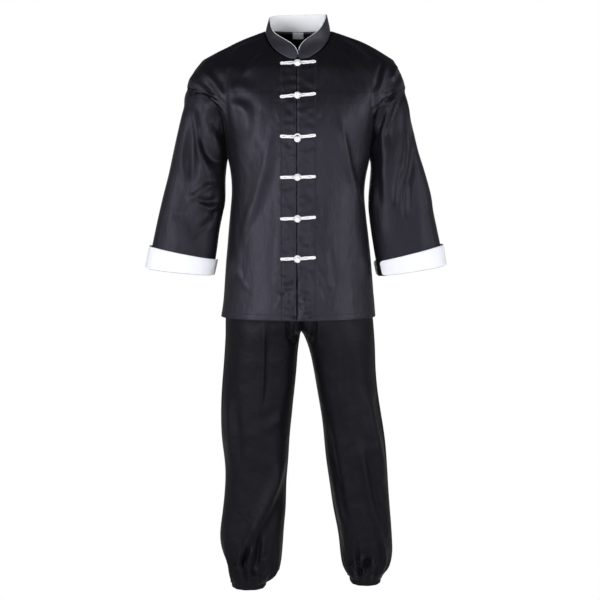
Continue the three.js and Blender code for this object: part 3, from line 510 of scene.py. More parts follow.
# Each fold: its width and height in millimetres, then the (x, z) marks of its line,
# in millimetres. A negative height is a trough.
JACKET_FRONT_FOLDS = [
    (14, 3.2, [(-178, -202), (-152, -190), (-129, -203), (-120, -238), (-129, -283)]),
    (13, 5.6, [(-62, -236), (-74, -316), (-99, -403), (-130, -490), (-150, -560)]),
    (12, 1.8, [(-94, -193), (-101, -300)]),
    (16, 2.0, [(-180, -169), (-151, -140), (-106, -165)]),
    (8, -3.0, [(-155, -67), (-184, -124), (-180, -202), (-170, -275)]),
    (9, 6.4, [(104, -214), (114, -270), (128, -340), (146, -410), (160, -476)]),
    (8, -3.0, [(149, -80), (178, -124), (191, -177), (184, -259)]),
    (9, 2.6, [(-158, -591), (-121, -658)]),
    (8, 2.0, [(-62, -616), (-75, -649)]),
    (9, 2.0, [(59, -540), (85, -658)]),
    (8, 2.6, [(-66, -680), (-40, -628), (-18, -592)]),
    (8, 2.4, [(46, -590), (64, -618), (86, -652)]),
    (5, -4.0, [(-4, -590), (-4, -620), (-4, -660)]),
    (11, -8.0, [(-5, -655), (-5, -690), (-5, -720)]),
    (7, 3.4, [(-36, -640), (-42, -672), (-62, -706)]),
    (9, 3.4, [(90, -14), (124, -34), (160, -62), (192, -93)]),
    (8, -3.0, [(74, -34), (108, -62), (146, -108)]),
    (9, 3.0, [(-98, -22), (-138, -42), (-184, -76)]),
    (8, -3.0, [(-84, -44), (-118, -72), (-150, -112)]),
    (6, 3.0, [(34, -600), (44, -640), (66, -684)]),
    (10, 2.2, [(-145, -540), (-158, -641)]),
    (9, 3.2, [(-238, -97), (-208, -138), (-186, -175)]),
    (8, 3.0, [(-257, -126), (-221, -167), (-191, -213)]),
    (30, 6.5, [(-262, -96), (-278, -128), (-284, -160), (-288, -196)]),
    (14, 6.0, [(-273, -160), (-280, -239), (-293, -299), (-291, -354), (-284, -405)]),
    (9, -2.4, [(-270, -216), (-268, -285), (-270, -340), (-263, -396)]),
    (9, 5.0, [(-266, -174), (-257, -225), (-252, -276), (-241, -322), (-229, -363)]),
    (11, -6.5, [(-254, -239), (-241, -285), (-222, -317), (-195, -335), (-178, -345)]),
    (12, 4.5, [(-246, -200), (-224, -248), (-196, -290), (-180, -322)]),
    (8, 3.5, [(-286, -419), (-264, -421), (-245, -405), (-227, -389), (-199, -391)]),
    (6, -4.0, [(-256, -424), (-232, -430), (-204, -424)]),
    (7, 4.0, [(-259, -420), (-241, -442), (-220, -449), (-192, -430)]),
    (6, -4.0, [(-222, -462), (-206, -456), (-190, -444)]),
    (9, 4.6, [(-222, -452), (-250, -483), (-277, -511), (-309, -539)]),
    (7, -3.5, [(-222, -486), (-246, -502), (-273, -522)]),
    (8, 3.4, [(-205, -483), (-241, -516), (-277, -543)]),
    (26, -4.0, [(-304, -440), (-298, -480), (-300, -520)]),
    (7, 4.2, [(254, -80), (243, -100), (238, -130)]),
    (8, 5.4, [(266, -110), (253, -142), (238, -175), (222, -218), (209, -256), (194, -300)]),
    (8, 5.4, [(268, -148), (273, -190), (275, -250), (275, -310), (266, -370), (259, -427)]),
    (6, -4.0, [(214, -72), (203, -110), (190, -160)]),
    (5, -4.0, [(242, -160), (222, -174), (200, -184)]),
    (7, -3.6, [(262, -330), (252, -360), (241, -450)]),
    (7, -3.6, [(268, -355), (272, -420), (270, -482)]),
    (8, -5.5, [(222, -190), (207, -240), (192, -290), (180, -330)]),
    (11, -4.5, [(204, -236), (196, -310), (200, -390), (208, -460)]),
    (13, 3.0, [(318, -300), (345, -459)]),
]
JACKET_BACK_FOLDS = [
    (30, 6.5, [(-262, -96), (-278, -128), (-284, -160), (-288, -196)]),
    (15, 4.0, [(-95, -190), (-108, -330), (-96, -470), (-118, -600)]),
    (14, 3.6, [(88, -170), (98, -290), (124, -410), (112, -560)]),
    (12, 3.0, [(-176, -190), (-138, -245), (-70, -262)]),
    (12, 3.0, [(172, -200), (134, -262), (64, -286)]),
    (13, 2.6, [(-20, -380), (6, -520), (-14, -660)]),
    (8, -3.0, [(-155, -90), (-184, -144), (-182, -212), (-172, -285)]),
    (8, -3.0, [(152, -90), (180, -144), (188, -202), (180, -275)]),
    (9, 3.2, [(-262, -150), (-221, -210), (-184, -270)]),
    (12, 3.6, [(-280, -220), (-262, -330), (-232, -410)]),
    (10, 3.2, [(-300, -400), (-246, -438), (-214, -446)]),
    (11, 2.6, [(-232, -470), (-292, -545)]),
    (9, 3.2, [(258, -140), (218, -196), (190, -262)]),
    (12, 3.6, [(286, -230), (272, -330), (240, -420)]),
    (10, 3.0, [(308, -392), (250, -436), (224, -440)]),
    (11, 2.6, [(250, -470), (306, -530)]),
]


front_edge_x = -0.0025
vent_top_z = -0.668
hem_z = -0.7
jacket_waves = [(0.16, 1.6, 3), (0.075, 0.65, 8), (0.032, 0.20, 14)]


def jacket_limits(points, lift):
    """Keeps the centre front flat under its fasteners, and the skirt off the trousers."""
    across = points[:, 0]
    down = -points[:, 2]
    ahead = points[:, 1]
    centre = (ahead < -0.02) * (1 - soft_step(np.abs(across), 0.040, 0.062))
    centre *= 1 - 0.7 * soft_step(down, 0.575, 0.62)
    lift = lift * (1 - 0.72 * centre)
    split = soft_step(down, 0.585, 0.62) * soft_step(across, -0.034, -0.022)
    split *= (across < front_edge_x + 0.0003) * (ahead < 0)
    low = -0.006 + 0.0056 * soft_step(down, 0.42, 0.50) * (1 - 0.55 * split)
    lift = np.maximum(lift, low)
    return lift * (soft_step(down, -0.02, 0.03) * 0.8 + 0.2)


def hold_seam(lift, seam, kept):
    """Quiets the folds towards a seam, and sinks the seam a little into the cloth."""
    lift = lift * (kept + (1 - kept) * soft_step(seam, 0.0, 0.018))
    return lift - 0.0006 * np.exp(-((seam / 0.003) ** 2))


def dress_panel(node_name):
    """One panel of the jacket's body, on the form of its solid."""
    piece = smooth_piece("cloth_" + node_name, outer_face(node_name, body_core), 3)
    soften(piece, -0.185, -0.055, 40)
    hem = edge_gap(piece, lambda place: place.z < hem_z)
    seam = edge_gap(piece, lambda place: place.z > vent_top_z and abs(place.x) > 0.03)
    note(piece, "hem", hem)
    note(piece, "seam", seam)

    def limits(points, lift):
        lift = hold_seam(jacket_limits(points, lift), seam, 0.65)
        if node_name != "back":
            from_edge = np.abs(points[:, 0] - front_edge_x)
            placket = 1 - soft_step(from_edge, 0.034, 0.048)
            loose = 1 + 0.7 * soft_step(-points[:, 2], 0.55, 0.62)
            lift += 0.0006 * loose * placket * drift(points, 0.024, 12, 1.2)
            lift -= 0.0004 * np.exp(-((from_edge / 0.0022) ** 2))
        if node_name == "front_left":
            lift += 0.0008 * (1 - soft_step(from_edge, 0.010, 0.030))
        return lift

    press_folds(piece, JACKET_FRONT_FOLDS, JACKET_BACK_FOLDS, jacket_waves, limits)
    lay_threads(piece, (0, -0.01, 0), (0, -0.01, -1), 0.235, 0.115)
    thicken(piece)
    settle(piece, node_name)
    return piece


cloth_front_right = dress_panel("front_right")
cloth_front_left = dress_panel("front_left")
cloth_back = dress_panel("back")
for front in (cloth_front_right, cloth_front_left):
    meet(front, (cloth_back,), lambda place: abs(place.x) > 0.06 and place.z > -0.60, 0.006)

# The right front's tucked-in strip, which carries on under the left front's edge.
under = opened(cloth_front_right.data)
edge = [
    e for e in under.edges
    if e.is_boundary and all(abs(v.co.x - front_edge_x) < 0.0035 and v.co.y < -0.03 for v in e.verts)
]
turned = list({v for e in edge for v in e.verts})
bmesh.ops.translate(under, verts=turned, vec=(-0.0007, 0.0004, 0))
for step in ((0.0003, 0.0030, 0), (0.008, 0.0008, 0), (0.007, 0.0008, 0)):
    grown = bmesh.ops.extrude_edge_only(under, edges=edge)["geom"]
    edge = [part for part in grown if isinstance(part, bmesh.types.BMEdge)]
    ends = [part for part in grown if isinstance(part, bmesh.types.BMVert)]
    bmesh.ops.translate(under, verts=ends, vec=step)
bmesh.ops.recalc_face_normals(under, faces=under.faces[:])
first = min(under.faces, key=lambda f: f.calc_center_median().y)
if first.normal.y > 0:
    bmesh.ops.reverse_faces(under, faces=under.faces[:])
under.to_mesh(cloth_front_right.data)
under.free()
cloth_front_right.data.shade_smooth()

cloth_front_right.data.materials.append(sateen("sateen_front_right", facing=-0.041))
cloth_front_left.data.materials.append(sateen("sateen_front_left", facing=0.043))
cloth_back.data.materials.append(sateen("sateen_back"))

# The sleeves, of the same sateen, set in below a dropped shoulder and closed by
# one seam under the arm. They widen to the turned-back cuffs, and hang open.

armhole_above_z = -0.40
sleeve_allowance = 0.005
allowance_sunk = 0.0030


def dress_sleeve(side, top, bottom):
    """One sleeve, whose folds die away where the cuff holds it flat."""
    node_name = "sleeve_" + side
    way = Vector(bottom) - Vector(top)

    def arm_core(place):
        return Vector(top) + way * ((place - Vector(top)).dot(way) / way.length_squared)

    piece = smooth_piece("cloth_" + node_name, outer_face(node_name, arm_core), 3)
    cuff_low, cuff_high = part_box("cuff_" + side)
    seam = edge_gap(piece, lambda place: place.z > armhole_above_z)
    note(piece, "hem", np.full(len(piece.data.vertices), 1.0))
    note(piece, "seam", seam)
    line = np.array(bottom) - np.array(top)
    line /= np.linalg.norm(line)
    inner_corner = np.array((cuff_high.x if side == "right" else cuff_low.x, 0, cuff_high.z))
    stop = (inner_corner - np.array(top)) @ line

    def limits(points, lift):
        reach = (points - np.array(top)) @ line
        free = 1 - soft_step(reach, stop - 0.075, stop - 0.020)
        lift = hold_seam(lift, seam, 0.65)
        return np.where(lift > 0, lift * free, lift * (0.25 + 0.75 * free))

    press_folds(piece, JACKET_FRONT_FOLDS, JACKET_BACK_FOLDS, jacket_waves, limits)
    front = cloth_front_right if side == "right" else cloth_front_left

    def at_armhole(place):
        return place.z > armhole_above_z and place.x * top[0] > 0.02

    meet(piece, (front, cloth_back), at_armhole, 0.012)
    allowance = opened(piece.data)
    allowance.normal_update()
    edge = [e for e in allowance.edges if e.is_boundary and e.verts[0].co.z > armhole_above_z]
    ways = [(v.co.copy(), v.normal.copy()) for v in {v for e in edge for v in e.verts}]
    grown = bmesh.ops.extrude_edge_only(allowance, edges=edge)["geom"]
    for vert in [part for part in grown if isinstance(part, bmesh.types.BMVert)]:
        _, outward = min(ways, key=lambda way: (way[0] - vert.co).length)
        vert.co -= Vector(line) * sleeve_allowance + outward * allowance_sunk
    allowance.to_mesh(piece.data)
    allowance.free()
    piece.data.shade_smooth()
    lay_threads(piece, top, bottom, 0.085, 0.075)
    thicken(piece)
    piece.data.materials.append(sateen("sateen_" + node_name, gloss=0.265))
    settle(piece, node_name)
    return piece


cloth_sleeve_right = dress_sleeve("right", (-0.205, 0.0, -0.150), (-0.305, -0.01, -0.580))
cloth_sleeve_left = dress_sleeve("left", (0.205, 0.0, -0.150), (0.305, -0.01, -0.580))

# The cuffs, of plain white cotton, sewn to the sleeve ends and turned back over
# them. Each is a double layer, with a folded edge and a short gap at the seam.


def soft_copy(node_name, levels):
    """A rounded copy of a whole thin solid, for a small piece with folded edges."""
    bm = opened(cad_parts[node_name].data)
    bmesh.ops.remove_doubles(bm, verts=bm.verts, dist=same_corner)
    bmesh.ops.join_triangles(bm, faces=bm.faces[:], angle_face_threshold=0.6, angle_shape_threshold=3.1)
    return smooth_piece("cloth_" + node_name, bm, levels)


def cotton(
    name, dark, light, roughness, sheen, crumple, count=1900.0, seamed=False, gloss=0.3, tint=(1, 1, 1)
):
    """Plain woven cotton: a fine even grain, soft crumples and a slow change of tone."""
    fixed = {
        "Specular IOR Level": gloss,
        "Specular Tint": (*tint, 1),
        "Sheen Weight": sheen,
        "Sheen Roughness": 0.5,
    }
    material, tree, shader = new_material(name, fixed)
    place = node(tree, "TexCoord").outputs["Object"]
    cloth = node(
        tree, "Group", {"Threads": place, "Count": count, "Crumple size": 22.0}, node_tree=weave
    ).outputs
    height = maths(tree, "MULTIPLY", cloth["Weave"], 0.00005)
    height = sum_of(tree, height, cloth["Crumple"], crumple)
    if seamed:
        gap = node(tree, "Attribute", attribute_name="seam").outputs["Fac"]
        along = node(tree, "SeparateXYZ", {0: place}).outputs["X"]
        row = node(tree, "Group", {"Gap": gap, "Along": along}, node_tree=stitches)
        height = sum_of(tree, height, row.outputs["Height"], 0.0004)
        height = sum_of(tree, height, pucker(tree, place, gap), 0.0012)
    dull = between(tree, cloth["Tone"], roughness - 0.05, roughness + 0.05)
    finish_cloth(tree, shader, height, cloth["Tone"], dark, light, dull)
    return material


white_cotton = cotton("white_cotton", (0.74, 0.75, 0.80), (0.79, 0.80, 0.86), 0.8, 0.1, 0.0014)
for side, area in (("right", 0.0218), ("left", 0.0202)):
    cuff = soft_copy("cuff_" + side, 2)
    points = spots(cuff)
    swell = 0.0006 * (1 + drift(points, 0.09, 21)) * (np.abs(facings(cuff)[:, 2]) < 0.8)
    low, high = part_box("cuff_" + side)
    outward = (points - np.array((low + high) / 2)) * np.array((1, 1, 0))
    outward /= np.linalg.norm(outward, axis=1)[:, None]
    move_to(cuff, points + outward * swell[:, None])
    cuff.data.materials.append(white_cotton)
    settle(cuff, "cuff_" + side)

# The stand collar: a black sateen band outside, and a white cotton band inside
# that stands a little higher and shows as a fine edge. The inside band's cotton is
# painted lighter than the cuffs' white cotton, as painted light against the shade
# inside the collar. A bare woven tape, sewn at both ends, marks the middle of the back.


def at_neck(place):
    """Whether a place on a panel's cut edge is at the neck."""
    close = place.z > -0.10 and abs(place.x) < 0.085
    return close and (abs(place.x) > 0.005 or place.y > 0)


neckline = []
for piece in (cloth_front_right, cloth_front_left, cloth_back):
    neckline.extend(spots(piece)[cut_rim(piece, at_neck)])
neck_tree = tree_of(neckline)


def fill_front(points, above):
    """Draws a band's upper edge in at the front, so that its ends are full and round."""
    front = soft_step(-points[:, 2], 0.0, 0.035) * soft_step(-points[:, 1], -0.02, 0.02)
    off = points[:, 0] - 0.001
    drawn = np.minimum(0.012 * np.clip(above / 0.030, 0, 1) * front, 0.9 * np.abs(off))
    points[:, 0] -= np.sign(off) * drawn
    return points


black_band = cotton(
    "collar_sateen", BLACK_DARK, BLACK_LIGHT, 0.50, 0.05, 0.0016, 3000.0, gloss=0.66, tint=BLACK_SHINE
)
# A lighter copy of the cuffs' white cotton: its near-white colour is painted light, standing in for the
# light that the shade inside the collar takes away.
painted_light_inner_cotton = cotton("painted_light_lining_material", (0.93, 0.95, 0.99), (0.96, 0.98, 1.0), 0.8, 0.2, 0.0007)
for node_name, finish, slot_name, area in (
    ("collar", black_band, "black_sateen", 0.0184),
    ("collar_lining", painted_light_inner_cotton, "white_cotton", 0.0185),
):
    band = soft_copy(node_name, 2)
    above = np.array([neck_tree.find(point)[2] for point in spots(band)])
    points = fill_front(spots(band), above)
    if node_name == "collar":
        lowered = 0.0026 + 0.0018 * soft_step(points[:, 1], 0.0, 0.03)
        points[:, 2] -= lowered * (1 - soft_step(above, 0.002, 0.016))
    else:
        behind = soft_step(points[:, 1], 0.0, 0.04)
        lowest = points[points[:, 1] > 0.05, 2].min()
        points[:, 2] += 0.002 * behind * (1 - soft_step(points[:, 2], lowest, lowest + 0.02))
    move_to(band, points)
    band.data.materials.append(finish)
    settle(band, node_name)

tape = soft_copy("label", 0)
move_to(tape, spots(tape) + np.array((0.0, -0.0036, 0.005)))
rounded = tape.modifiers.new("soft edge", "BEVEL")
rounded.width = 0.0004
rounded.segments = 2
white_tape = cotton("label_tape", (0.95, 0.95, 0.97), (0.98, 0.98, 0.99), 0.6, 0.3, 0.0002, 1500.0)
tape.data.materials.append(white_tape)
settle(tape, "label")

# Six frog fasteners, of rolled white cord sewn to the fronts. Each has a doubled
# arm on the wearer's left that ends in a ball knot, and on the right a doubled
# cord whose loop lies round the knot's neck.

# The heights in millimetres of each one's right end, left end and knot.
FROGS = [
    (-86, -82, -86),
    (-169, -162, -165),
    (-266, -264, -273),
    (-367, -365, -368),
    (-470, -466, -471),
    (-570, -566, -571),
]
cord_radius = 0.0020
knot_x = -0.0013

bpy.context.view_layer.update()
views = bpy.context.evaluated_depsgraph_get()
fronts = [BVHTree.FromObject(piece, views) for piece in (cloth_front_right, cloth_front_left)]


def on_front(x, z):
    """How far forward the cloth of the fronts stands at a place."""
    hits = [tree.ray_cast(Vector((x, -0.5, z)), Vector((0, 1, 0)))[0] for tree in fronts]
    return min(hit.y for hit in hits if hit)


def cord_piece(name, path, closed):
    """A round cord along a path, as a mesh."""
    curve = bpy.data.curves.new(name, "CURVE")
    curve.dimensions = "3D"
    curve.bevel_depth = cord_radius
    curve.bevel_resolution = 3
    curve.use_fill_caps = True
    line = curve.splines.new("POLY")
    line.points.add(len(path) - 1)
    for point, place in zip(line.points, path):
        point.co = (*place, 1)
    line.use_cyclic_u = closed
    drawn = new_object(name, curve)
    seen = drawn.evaluated_get(bpy.context.evaluated_depsgraph_get())
    mesh = bpy.data.meshes.new_from_object(seen)
    bpy.data.objects.remove(drawn)
    piece = new_object(name, mesh)
    piece.data.shade_smooth()
    return piece


def arm_path(inner_x, outer_x, inner_z, outer_z, eye, seed):
    """Two strands side by side from the end fold in to the knot, along the cloth."""
    picks = np.random.default_rng(seed)
    way = 1 if outer_x > inner_x else -1
    upper = []
    for part in np.linspace(0, 1, 15):
        x = inner_x + (outer_x - way * cord_radius - inner_x) * part
        z = inner_z + (outer_z - inner_z) * part
        upper.append((x, z + cord_radius * (1.02 - 0.12 * math.sin(part * 9 + seed))))
    lower = []
    for step, (x, z) in enumerate(upper):
        middle_z = inner_z + (outer_z - inner_z) * step / 14
        lower.append((x, 2 * middle_z - z))
    end_x = outer_x - way * cord_radius
    flat = upper
    for angle in np.radians(np.linspace(70, -70, 7)):
        x = end_x + way * cord_radius * 1.1 * math.cos(angle)
        flat.append((x, outer_z + cord_radius * math.sin(angle)))
    flat += lower[::-1]
    if eye:
        for angle in np.radians(np.linspace(-150, 150, 15)):
            flat.append((knot_x + 0.0074 * math.cos(angle), inner_z + 0.0066 * math.sin(angle)))
    wobble = picks.normal(size=(len(flat), 2)) * 0.00010
    return [
        Vector((x + a, on_front(x, z) - cord_radius * 0.80, z + b))
        for (x, z), (a, b) in zip(flat, wobble)
    ]


def white_cord(name):
    """Rolled white cord, whose fine diagonal ribs wind round it."""
    material, tree, shader = new_material(name, {"Sheen Weight": 0.2})
    place = node(tree, "TexCoord").outputs["Object"]
    turned = node(tree, "Mapping", {"Vector": place, "Rotation": (0.4, 0.75, 0.3)})
    winding = {"Vector": turned.outputs[0], "Scale": 330.0, "Distortion": 1.5, "Detail": 1.0}
    ribs = node(tree, "TexWave", winding).outputs["Fac"]
    grain = node(tree, "TexNoise", {"Vector": place, "Scale": 900.0, "Detail": 2.0}).outputs["Fac"]
    height = sum_of(tree, maths(tree, "MULTIPLY", ribs, 0.00022), grain, 0.00015)
    dull = between(tree, grain, 0.5, 0.7)
    finish_cloth(tree, shader, height, ribs, (0.84, 0.85, 0.88), (0.93, 0.93, 0.95), dull)
    return material


cord_finish = white_cord("rolled_white_cord")
ball = 0.0054
for number, (right_z, left_z, knot_z) in enumerate(FROGS, start=1):
    right_z, left_z, knot_z = right_z / 1000, left_z / 1000, knot_z / 1000
    name = f"frog_{number}"
    neck_z = 0.35 * (right_z + left_z) + 0.3 * knot_z
    loop_path = arm_path(-0.0070, -0.0425, neck_z, right_z, True, number)
    arm_line = arm_path(0.0045, 0.0425, neck_z, left_z, False, number + 20)
    loop = cord_piece(name + "_loop_cord", loop_path, True)
    arm = cord_piece(name + "_arm_cord", arm_line, False)
    path = []
    deep = on_front(knot_x, knot_z) - ball * 1.15
    for turn in np.linspace(0, 2 * math.pi, 97)[:-1]:
        lift = math.radians(58) * math.sin(4 * turn)
        reach = ball + 0.0006 * math.cos(8 * turn + 0.8)
        spin = 3 * turn + 0.4 * number
        path.append((
            knot_x + reach * 1.12 * math.cos(lift) * math.cos(spin),
            deep + reach * 0.95 * math.sin(lift),
            knot_z + reach * math.cos(lift) * math.sin(spin),
        ))
    knot = cord_piece(name + "_knot_cord", path, True)
    core = opened(knot.data)
    filled = bmesh.ops.create_icosphere(core, subdivisions=3, radius=ball * 1.02)["verts"]
    bmesh.ops.translate(core, verts=filled, vec=(knot_x, deep, knot_z))
    core.to_mesh(knot.data)
    core.free()
    knot.data.shade_smooth()
    for piece, part in ((loop, "_loop"), (arm, "_arm"), (knot, "_knot")):
        piece.data.materials.append(cord_finish)
        settle(piece, name + part)

# The trousers: four panels of matte black cotton, two to a leg, joined down the
# inside and outside legs and through the crotch. They hang loose, keep a pressed
# crease high on the front, and bag and pucker above the ankles.

TROUSER_FRONT_FOLDS = [
    (6, 8.4, [(-84, -700), (-86, -760), (-88, -830), (-93, -968)]),
    (12, 6.5, [(-180, -915), (-181, -985), (-175, -1060), (-170, -1140)]),
    (15, 12.0, [(-40, -1080), (-52, -1140), (-84, -1221), (-124, -1300), (-150, -1350)]),
    (12, 3.6, [(-92, -1010), (-60, -1000), (-36, -976)]),
    (9, 8.6, [(158, -1010), (167, -1090), (184, -1200), (212, -1300), (228, -1362)]),
    (11, 7.6, [(184, -900), (194, -985), (213, -1080), (228, -1170)]),
    (12, -5.0, [(66, -960), (86, -1090), (106, -1221), (117, -1310)]),
    (9, 5.0, [(86, -1130), (101, -1218), (116, -1290)]),
    (5, -8.0, [(-32, -700), (-26, -732), (-23, -766), (-13, -800)]),
    (6, -7.0, [(47, -700), (43, -732), (42, -762), (34, -795)]),
    (4, -5.0, [(-13, -735), (-9, -765), (-12, -805)]),
    (4, 4.0, [(30, -735), (28, -765), (36, -800)]),
    (8, 7.0, [(-120, -1292), (-150, -1350), (-164, -1404)]),
    (5, -8.5, [(-126, -1314), (-136, -1350), (-148, -1392)]),
    (5, -8.5, [(-94, -1280), (-102, -1346), (-111, -1402)]),
    (7, 6.5, [(-114, -1310), (-122, -1350), (-130, -1400)]),
    (4, -5.5, [(-121, -1386), (-112, -1420)]),
    (4, -5.5, [(-158, -1362), (-168, -1394)]),
    (8, 5.0, [(-84, -1350), (-92, -1410)]),
    (5, -8.5, [(192, -1350), (177, -1384), (158, -1412)]),
    (7, 6.5, [(174, -1346), (160, -1376), (146, -1406)]),
    (6, 5.0, [(204, -1356), (196, -1388), (186, -1414)]),
    (4, -5.5, [(203, -1300), (219, -1352), (214, -1400)]),
    (4, -4.5, [(142, -1362), (134, -1394)]),
    (14, 4.0, [(105, -760), (112, -900), (118, -1010)]),
]
TROUSER_BACK_FOLDS = [
    (6, 4.5, [(-92, -745), (-96, -900), (-104, -1060)]),
    (14, 8.0, [(-60, -1120), (-96, -1230), (-160, -1330)]),
    (15, 4.0, [(-40, -1000), (-110, -1040), (-170, -1030)]),
    (13, 3.0, [(-52, -1050), (-120, -1075), (-160, -1070)]),
    (6, 4.5, [(104, -745), (112, -900), (128, -1060)]),
    (14, 8.0, [(92, -1110), (138, -1230), (214, -1330)]),
    (15, 4.0, [(62, -1000), (130, -1045), (196, -1030)]),
    (13, 3.0, [(78, -1060), (150, -1080), (190, -1070)]),
    (15, 3.6, [(-8, -780), (-60, -826), (-130, -820)]),
    (15, 3.6, [(24, -780), (72, -826), (140, -822)]),
    (9, 6.0, [(-150, -1320), (-132, -1410)]),
    (8, 5.4, [(-112, -1330), (-108, -1420)]),
    (9, 6.0, [(168, -1320), (172, -1405)]),
    (8, 5.4, [(206, -1330), (200, -1410)]),
]
trouser_waves = [(0.19, 3.2, 31), (0.09, 0.9, 36), (0.045, 0.30, 38)]


def close_rise(piece, seam_x):
    """Brings the two legs together along the seam above the crotch."""
    points = spots(piece)
    rim = cut_rim(piece, lambda place: abs(place.x - seam_x) < 0.012 and place.z > -0.785)
    tree = tree_of(points[rim])
    for index, point in enumerate(points):
        edge, _, gap = tree.find(point)
        if gap < seam_pull and point[2] > -0.80:
            held = (1 - gap / seam_pull) ** 2 * float(soft_step(point[2], -0.778, -0.766))
            points[index, 0] += (seam_x - edge.x) * held
    move_to(piece, points)


def dress_trousers(node_name, middle):
    """One panel of the trousers, pressed flat where the jacket hides it."""

    def leg_core(place):
        spread = 0.055 * soft_step(-place.z, 0.8, 1.45) * np.sign(middle)
        return Vector((middle + spread, 0.0, place.z))

    piece = smooth_piece("cloth_" + node_name, outer_face(node_name, leg_core), 3)
    seam = edge_gap(piece, lambda place: place.z > -1.42)
    note(piece, "seam", seam)
    low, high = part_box("ankle_band_right" if middle < 0 else "ankle_band_left")
    ankle = (low + high) / 2

    def limits(points, lift):
        lift = hold_seam(lift, seam, 0.35)
        turn = np.arctan2(points[:, 0] - ankle.x, ankle.y - points[:, 1])
        gathered = soft_step(ankle.z + 0.16 - points[:, 2], 0.0, 0.12)
        uneven = turn + 0.25 * np.sin(2 * turn + 4 * middle) + 1.2 * (points[:, 2] - ankle.z)
        pleat = np.cos(13 * uneven) + 0.6 * np.cos(21 * uneven + 2.0)
        lift += 0.0028 * gathered ** 1.5 * pleat * (1 + 0.5 * drift(points, 0.07, 41))
        hidden = soft_step(points[:, 2], -0.738, -0.718)
        lift = lift * (1 - hidden) - 0.0006 * hidden
        lift *= 0.12 + 0.88 * soft_step(points[:, 2], high.z - 0.002, high.z + 0.030)
        inner = 1 - soft_step(np.abs(points[:, 0] - 0.008), 0.003, 0.012)
        return lift * (1 - 0.8 * inner)

    press_folds(piece, TROUSER_FRONT_FOLDS, TROUSER_BACK_FOLDS, trouser_waves, limits)
    close_rise(piece, 0.0081 - 0.0004 * np.sign(middle))
    lay_threads(piece, (middle, -0.01, -0.45), (middle * 1.25, -0.01, -1.45), 0.12, 0.11)
    thicken(piece)
    settle(piece, node_name)
    return piece


MATTE_DARK = (0.0020, 0.0018, 0.0026)
MATTE_LIGHT = (0.0034, 0.0031, 0.0044)
MATTE_SHINE = (0.86, 0.83, 1.0)
black_cotton = cotton(
    "black_cotton", MATTE_DARK, MATTE_LIGHT, 0.50, 0.01, 0.0045, 2200.0,
    seamed=True, gloss=0.155, tint=MATTE_SHINE,
)
panels = {}
for node_name, middle, area in (
    ("trouser_front_right", -0.11, 0.256),
    ("trouser_back_right", -0.11, 0.259),
    ("trouser_front_left", 0.13, 0.242),
    ("trouser_back_left", 0.13, 0.243),
):
    panels[node_name] = dress_trousers(node_name, middle)
    panels[node_name].data.materials.append(black_cotton)
for side in ("right", "left"):
    back = panels["trouser_back_" + side]
    meet(panels["trouser_front_" + side], (back,), lambda place: place.z < -1.25, 0.010)

# The waistband and the ankle casings: bands of the same cotton sewn round elastic,
# which gathers them into fine even pleats. The waistband is hidden by the jacket.

ribbed = cotton(
    "gathered_cotton", MATTE_DARK, MATTE_LIGHT, 0.56, 0.01, 0.0016, 2200.0,
    gloss=0.15, tint=MATTE_SHINE,
)
for node_name, flat, area in (
    ("waistband", (0.94, 0.035), 0.030),
    ("ankle_band_right", (0.30, 0.016), 0.0040),
    ("ankle_band_left", (0.30, 0.016), 0.0040),
):
    band = soft_copy(node_name, 2)
    if node_name != "waistband":
        low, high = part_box(node_name)
        points = spots(band)
        top = soft_step(points[:, 2], (low.z + high.z) / 2, high.z - 0.002)
        points[:, :2] -= (points[:, :2] - np.array((low + high)[:2]) / 2) * 0.02 * top[:, None]
        points[:, 2] += 0.005 * top
        move_to(band, points)
    band.data.materials.append(ribbed)
    settle(band, node_name)

# The studio: a plain pale floor below the ankles, a white surround and large soft
# lights, with the camera at the photograph's height and distance.

floor_mesh = bmesh.new()
bmesh.ops.create_grid(floor_mesh, x_segments=1, y_segments=1, size=9.0)
bmesh.ops.translate(floor_mesh, verts=floor_mesh.verts, vec=(0, 0, -1.535))
floor_data = bpy.data.meshes.new("floor")
floor_mesh.to_mesh(floor_data)
floor_mesh.free()
floor = new_object("floor", floor_data)
pale_values = {"Base Color": (0.9, 0.9, 0.9, 1), "Roughness": 0.9, "Specular IOR Level": 0.1}
pale, pale_tree, pale_shader = new_material("pale_floor", pale_values)
seen_pale = node(pale_tree, "Emission", {"Color": (1, 1, 1, 1), "Strength": 1.0})


def seen_else_lit(tree, seen, lit):
    """One shader where the camera sees it, and another one for the light it gives."""
    rays = node(tree, "LightPath").outputs["Is Camera Ray"]
    return node(tree, "MixShader", {0: rays, 1: lit.outputs[0], 2: seen.outputs[0]}).outputs[0]


floor_look = seen_else_lit(pale_tree, seen_pale, pale_shader)
pale_tree.links.new(floor_look, pale_tree.nodes["Material Output"].inputs["Surface"])
floor_data.materials.append(pale)

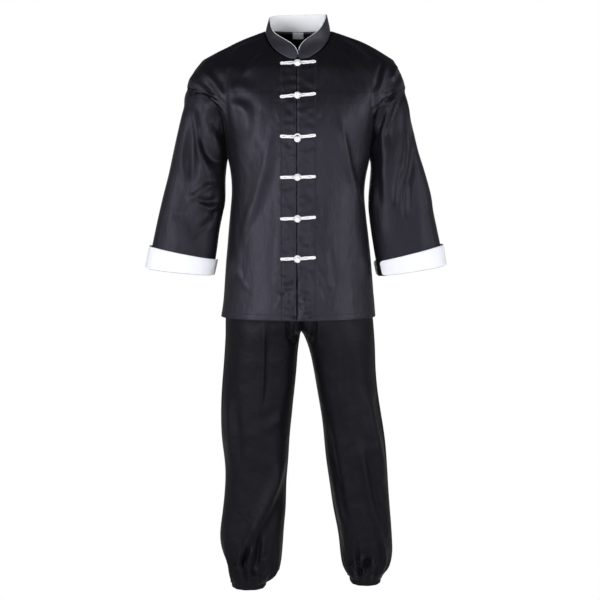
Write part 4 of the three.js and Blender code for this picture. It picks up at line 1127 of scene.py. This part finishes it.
world = bpy.data.worlds.new("studio")
bpy.context.scene.world = world
world.use_nodes = True
surround = world.node_tree
seen_white = surround.nodes["Background"]
seen_white.inputs["Color"].default_value = (1, 1, 1, 1)
seen_white.inputs["Strength"].default_value = 1.0
direction = node(surround, "TexCoord").outputs["Generated"]
toward = node(surround, "SeparateXYZ", {0: direction}).outputs["Z"]
level = node(
    surround, "MapRange", {0: toward, 1: 0.05, 2: 0.6, 3: 0.34, 4: 0.05}, interpolation_type="SMOOTHSTEP"
)
lit_soft = node(surround, "Background", {"Color": (0.93, 0.95, 1.0, 1), "Strength": level.outputs[0]})
sky_look = seen_else_lit(surround, seen_white, lit_soft)
surround.links.new(sky_look, surround.nodes["World Output"].inputs["Surface"])

# Each soft box: its name, where it stands, what it faces, its power and its size.
for name, place, aim, power, wide, tall in (
    ("key", (-2.1, -2.6, -0.2), (0, 0, -0.6), 60, 0.9, 1.6),
    ("fill", (2.3, -2.3, -0.4), (0, 0, -0.7), 40, 0.8, 1.6),
    ("low_front", (-0.1, -3.3, -0.95), (0, 0, -0.75), 26, 1.9, 0.9),
    ("side_left", (-2.8, -0.6, 0.1), (0, 0, -0.5), 12, 0.35, 1.5),
    ("side_right", (2.8, -0.6, 0.2), (0, 0, -0.4), 17, 0.35, 1.5),
    ("back", (0.0, 3.2, -0.4), (0, 0, -0.6), 24, 0.8, 1.8),
):
    lamp = bpy.data.lights.new(name, "AREA")
    lamp.shape = "RECTANGLE"
    lamp.size = wide
    lamp.size_y = tall
    lamp.energy = power
    box = new_object(name, lamp)
    box.location = place
    box.rotation_euler = (Vector(aim) - Vector(place)).to_track_quat("-Z", "Y").to_euler()

lens = bpy.data.cameras.new("camera")
lens.lens = 79.0
lens.sensor_width = 36.0
camera = bpy.data.objects.new("camera", lens)
bpy.context.scene.collection.objects.link(camera)
camera.location = (0.00508, -3.400, -0.2883)
camera.rotation_euler = (math.radians(83.3), 0, 0)
bpy.context.scene.camera = camera
bpy.context.scene.view_settings.view_transform = "Standard"

bpy.context.view_layer.update()
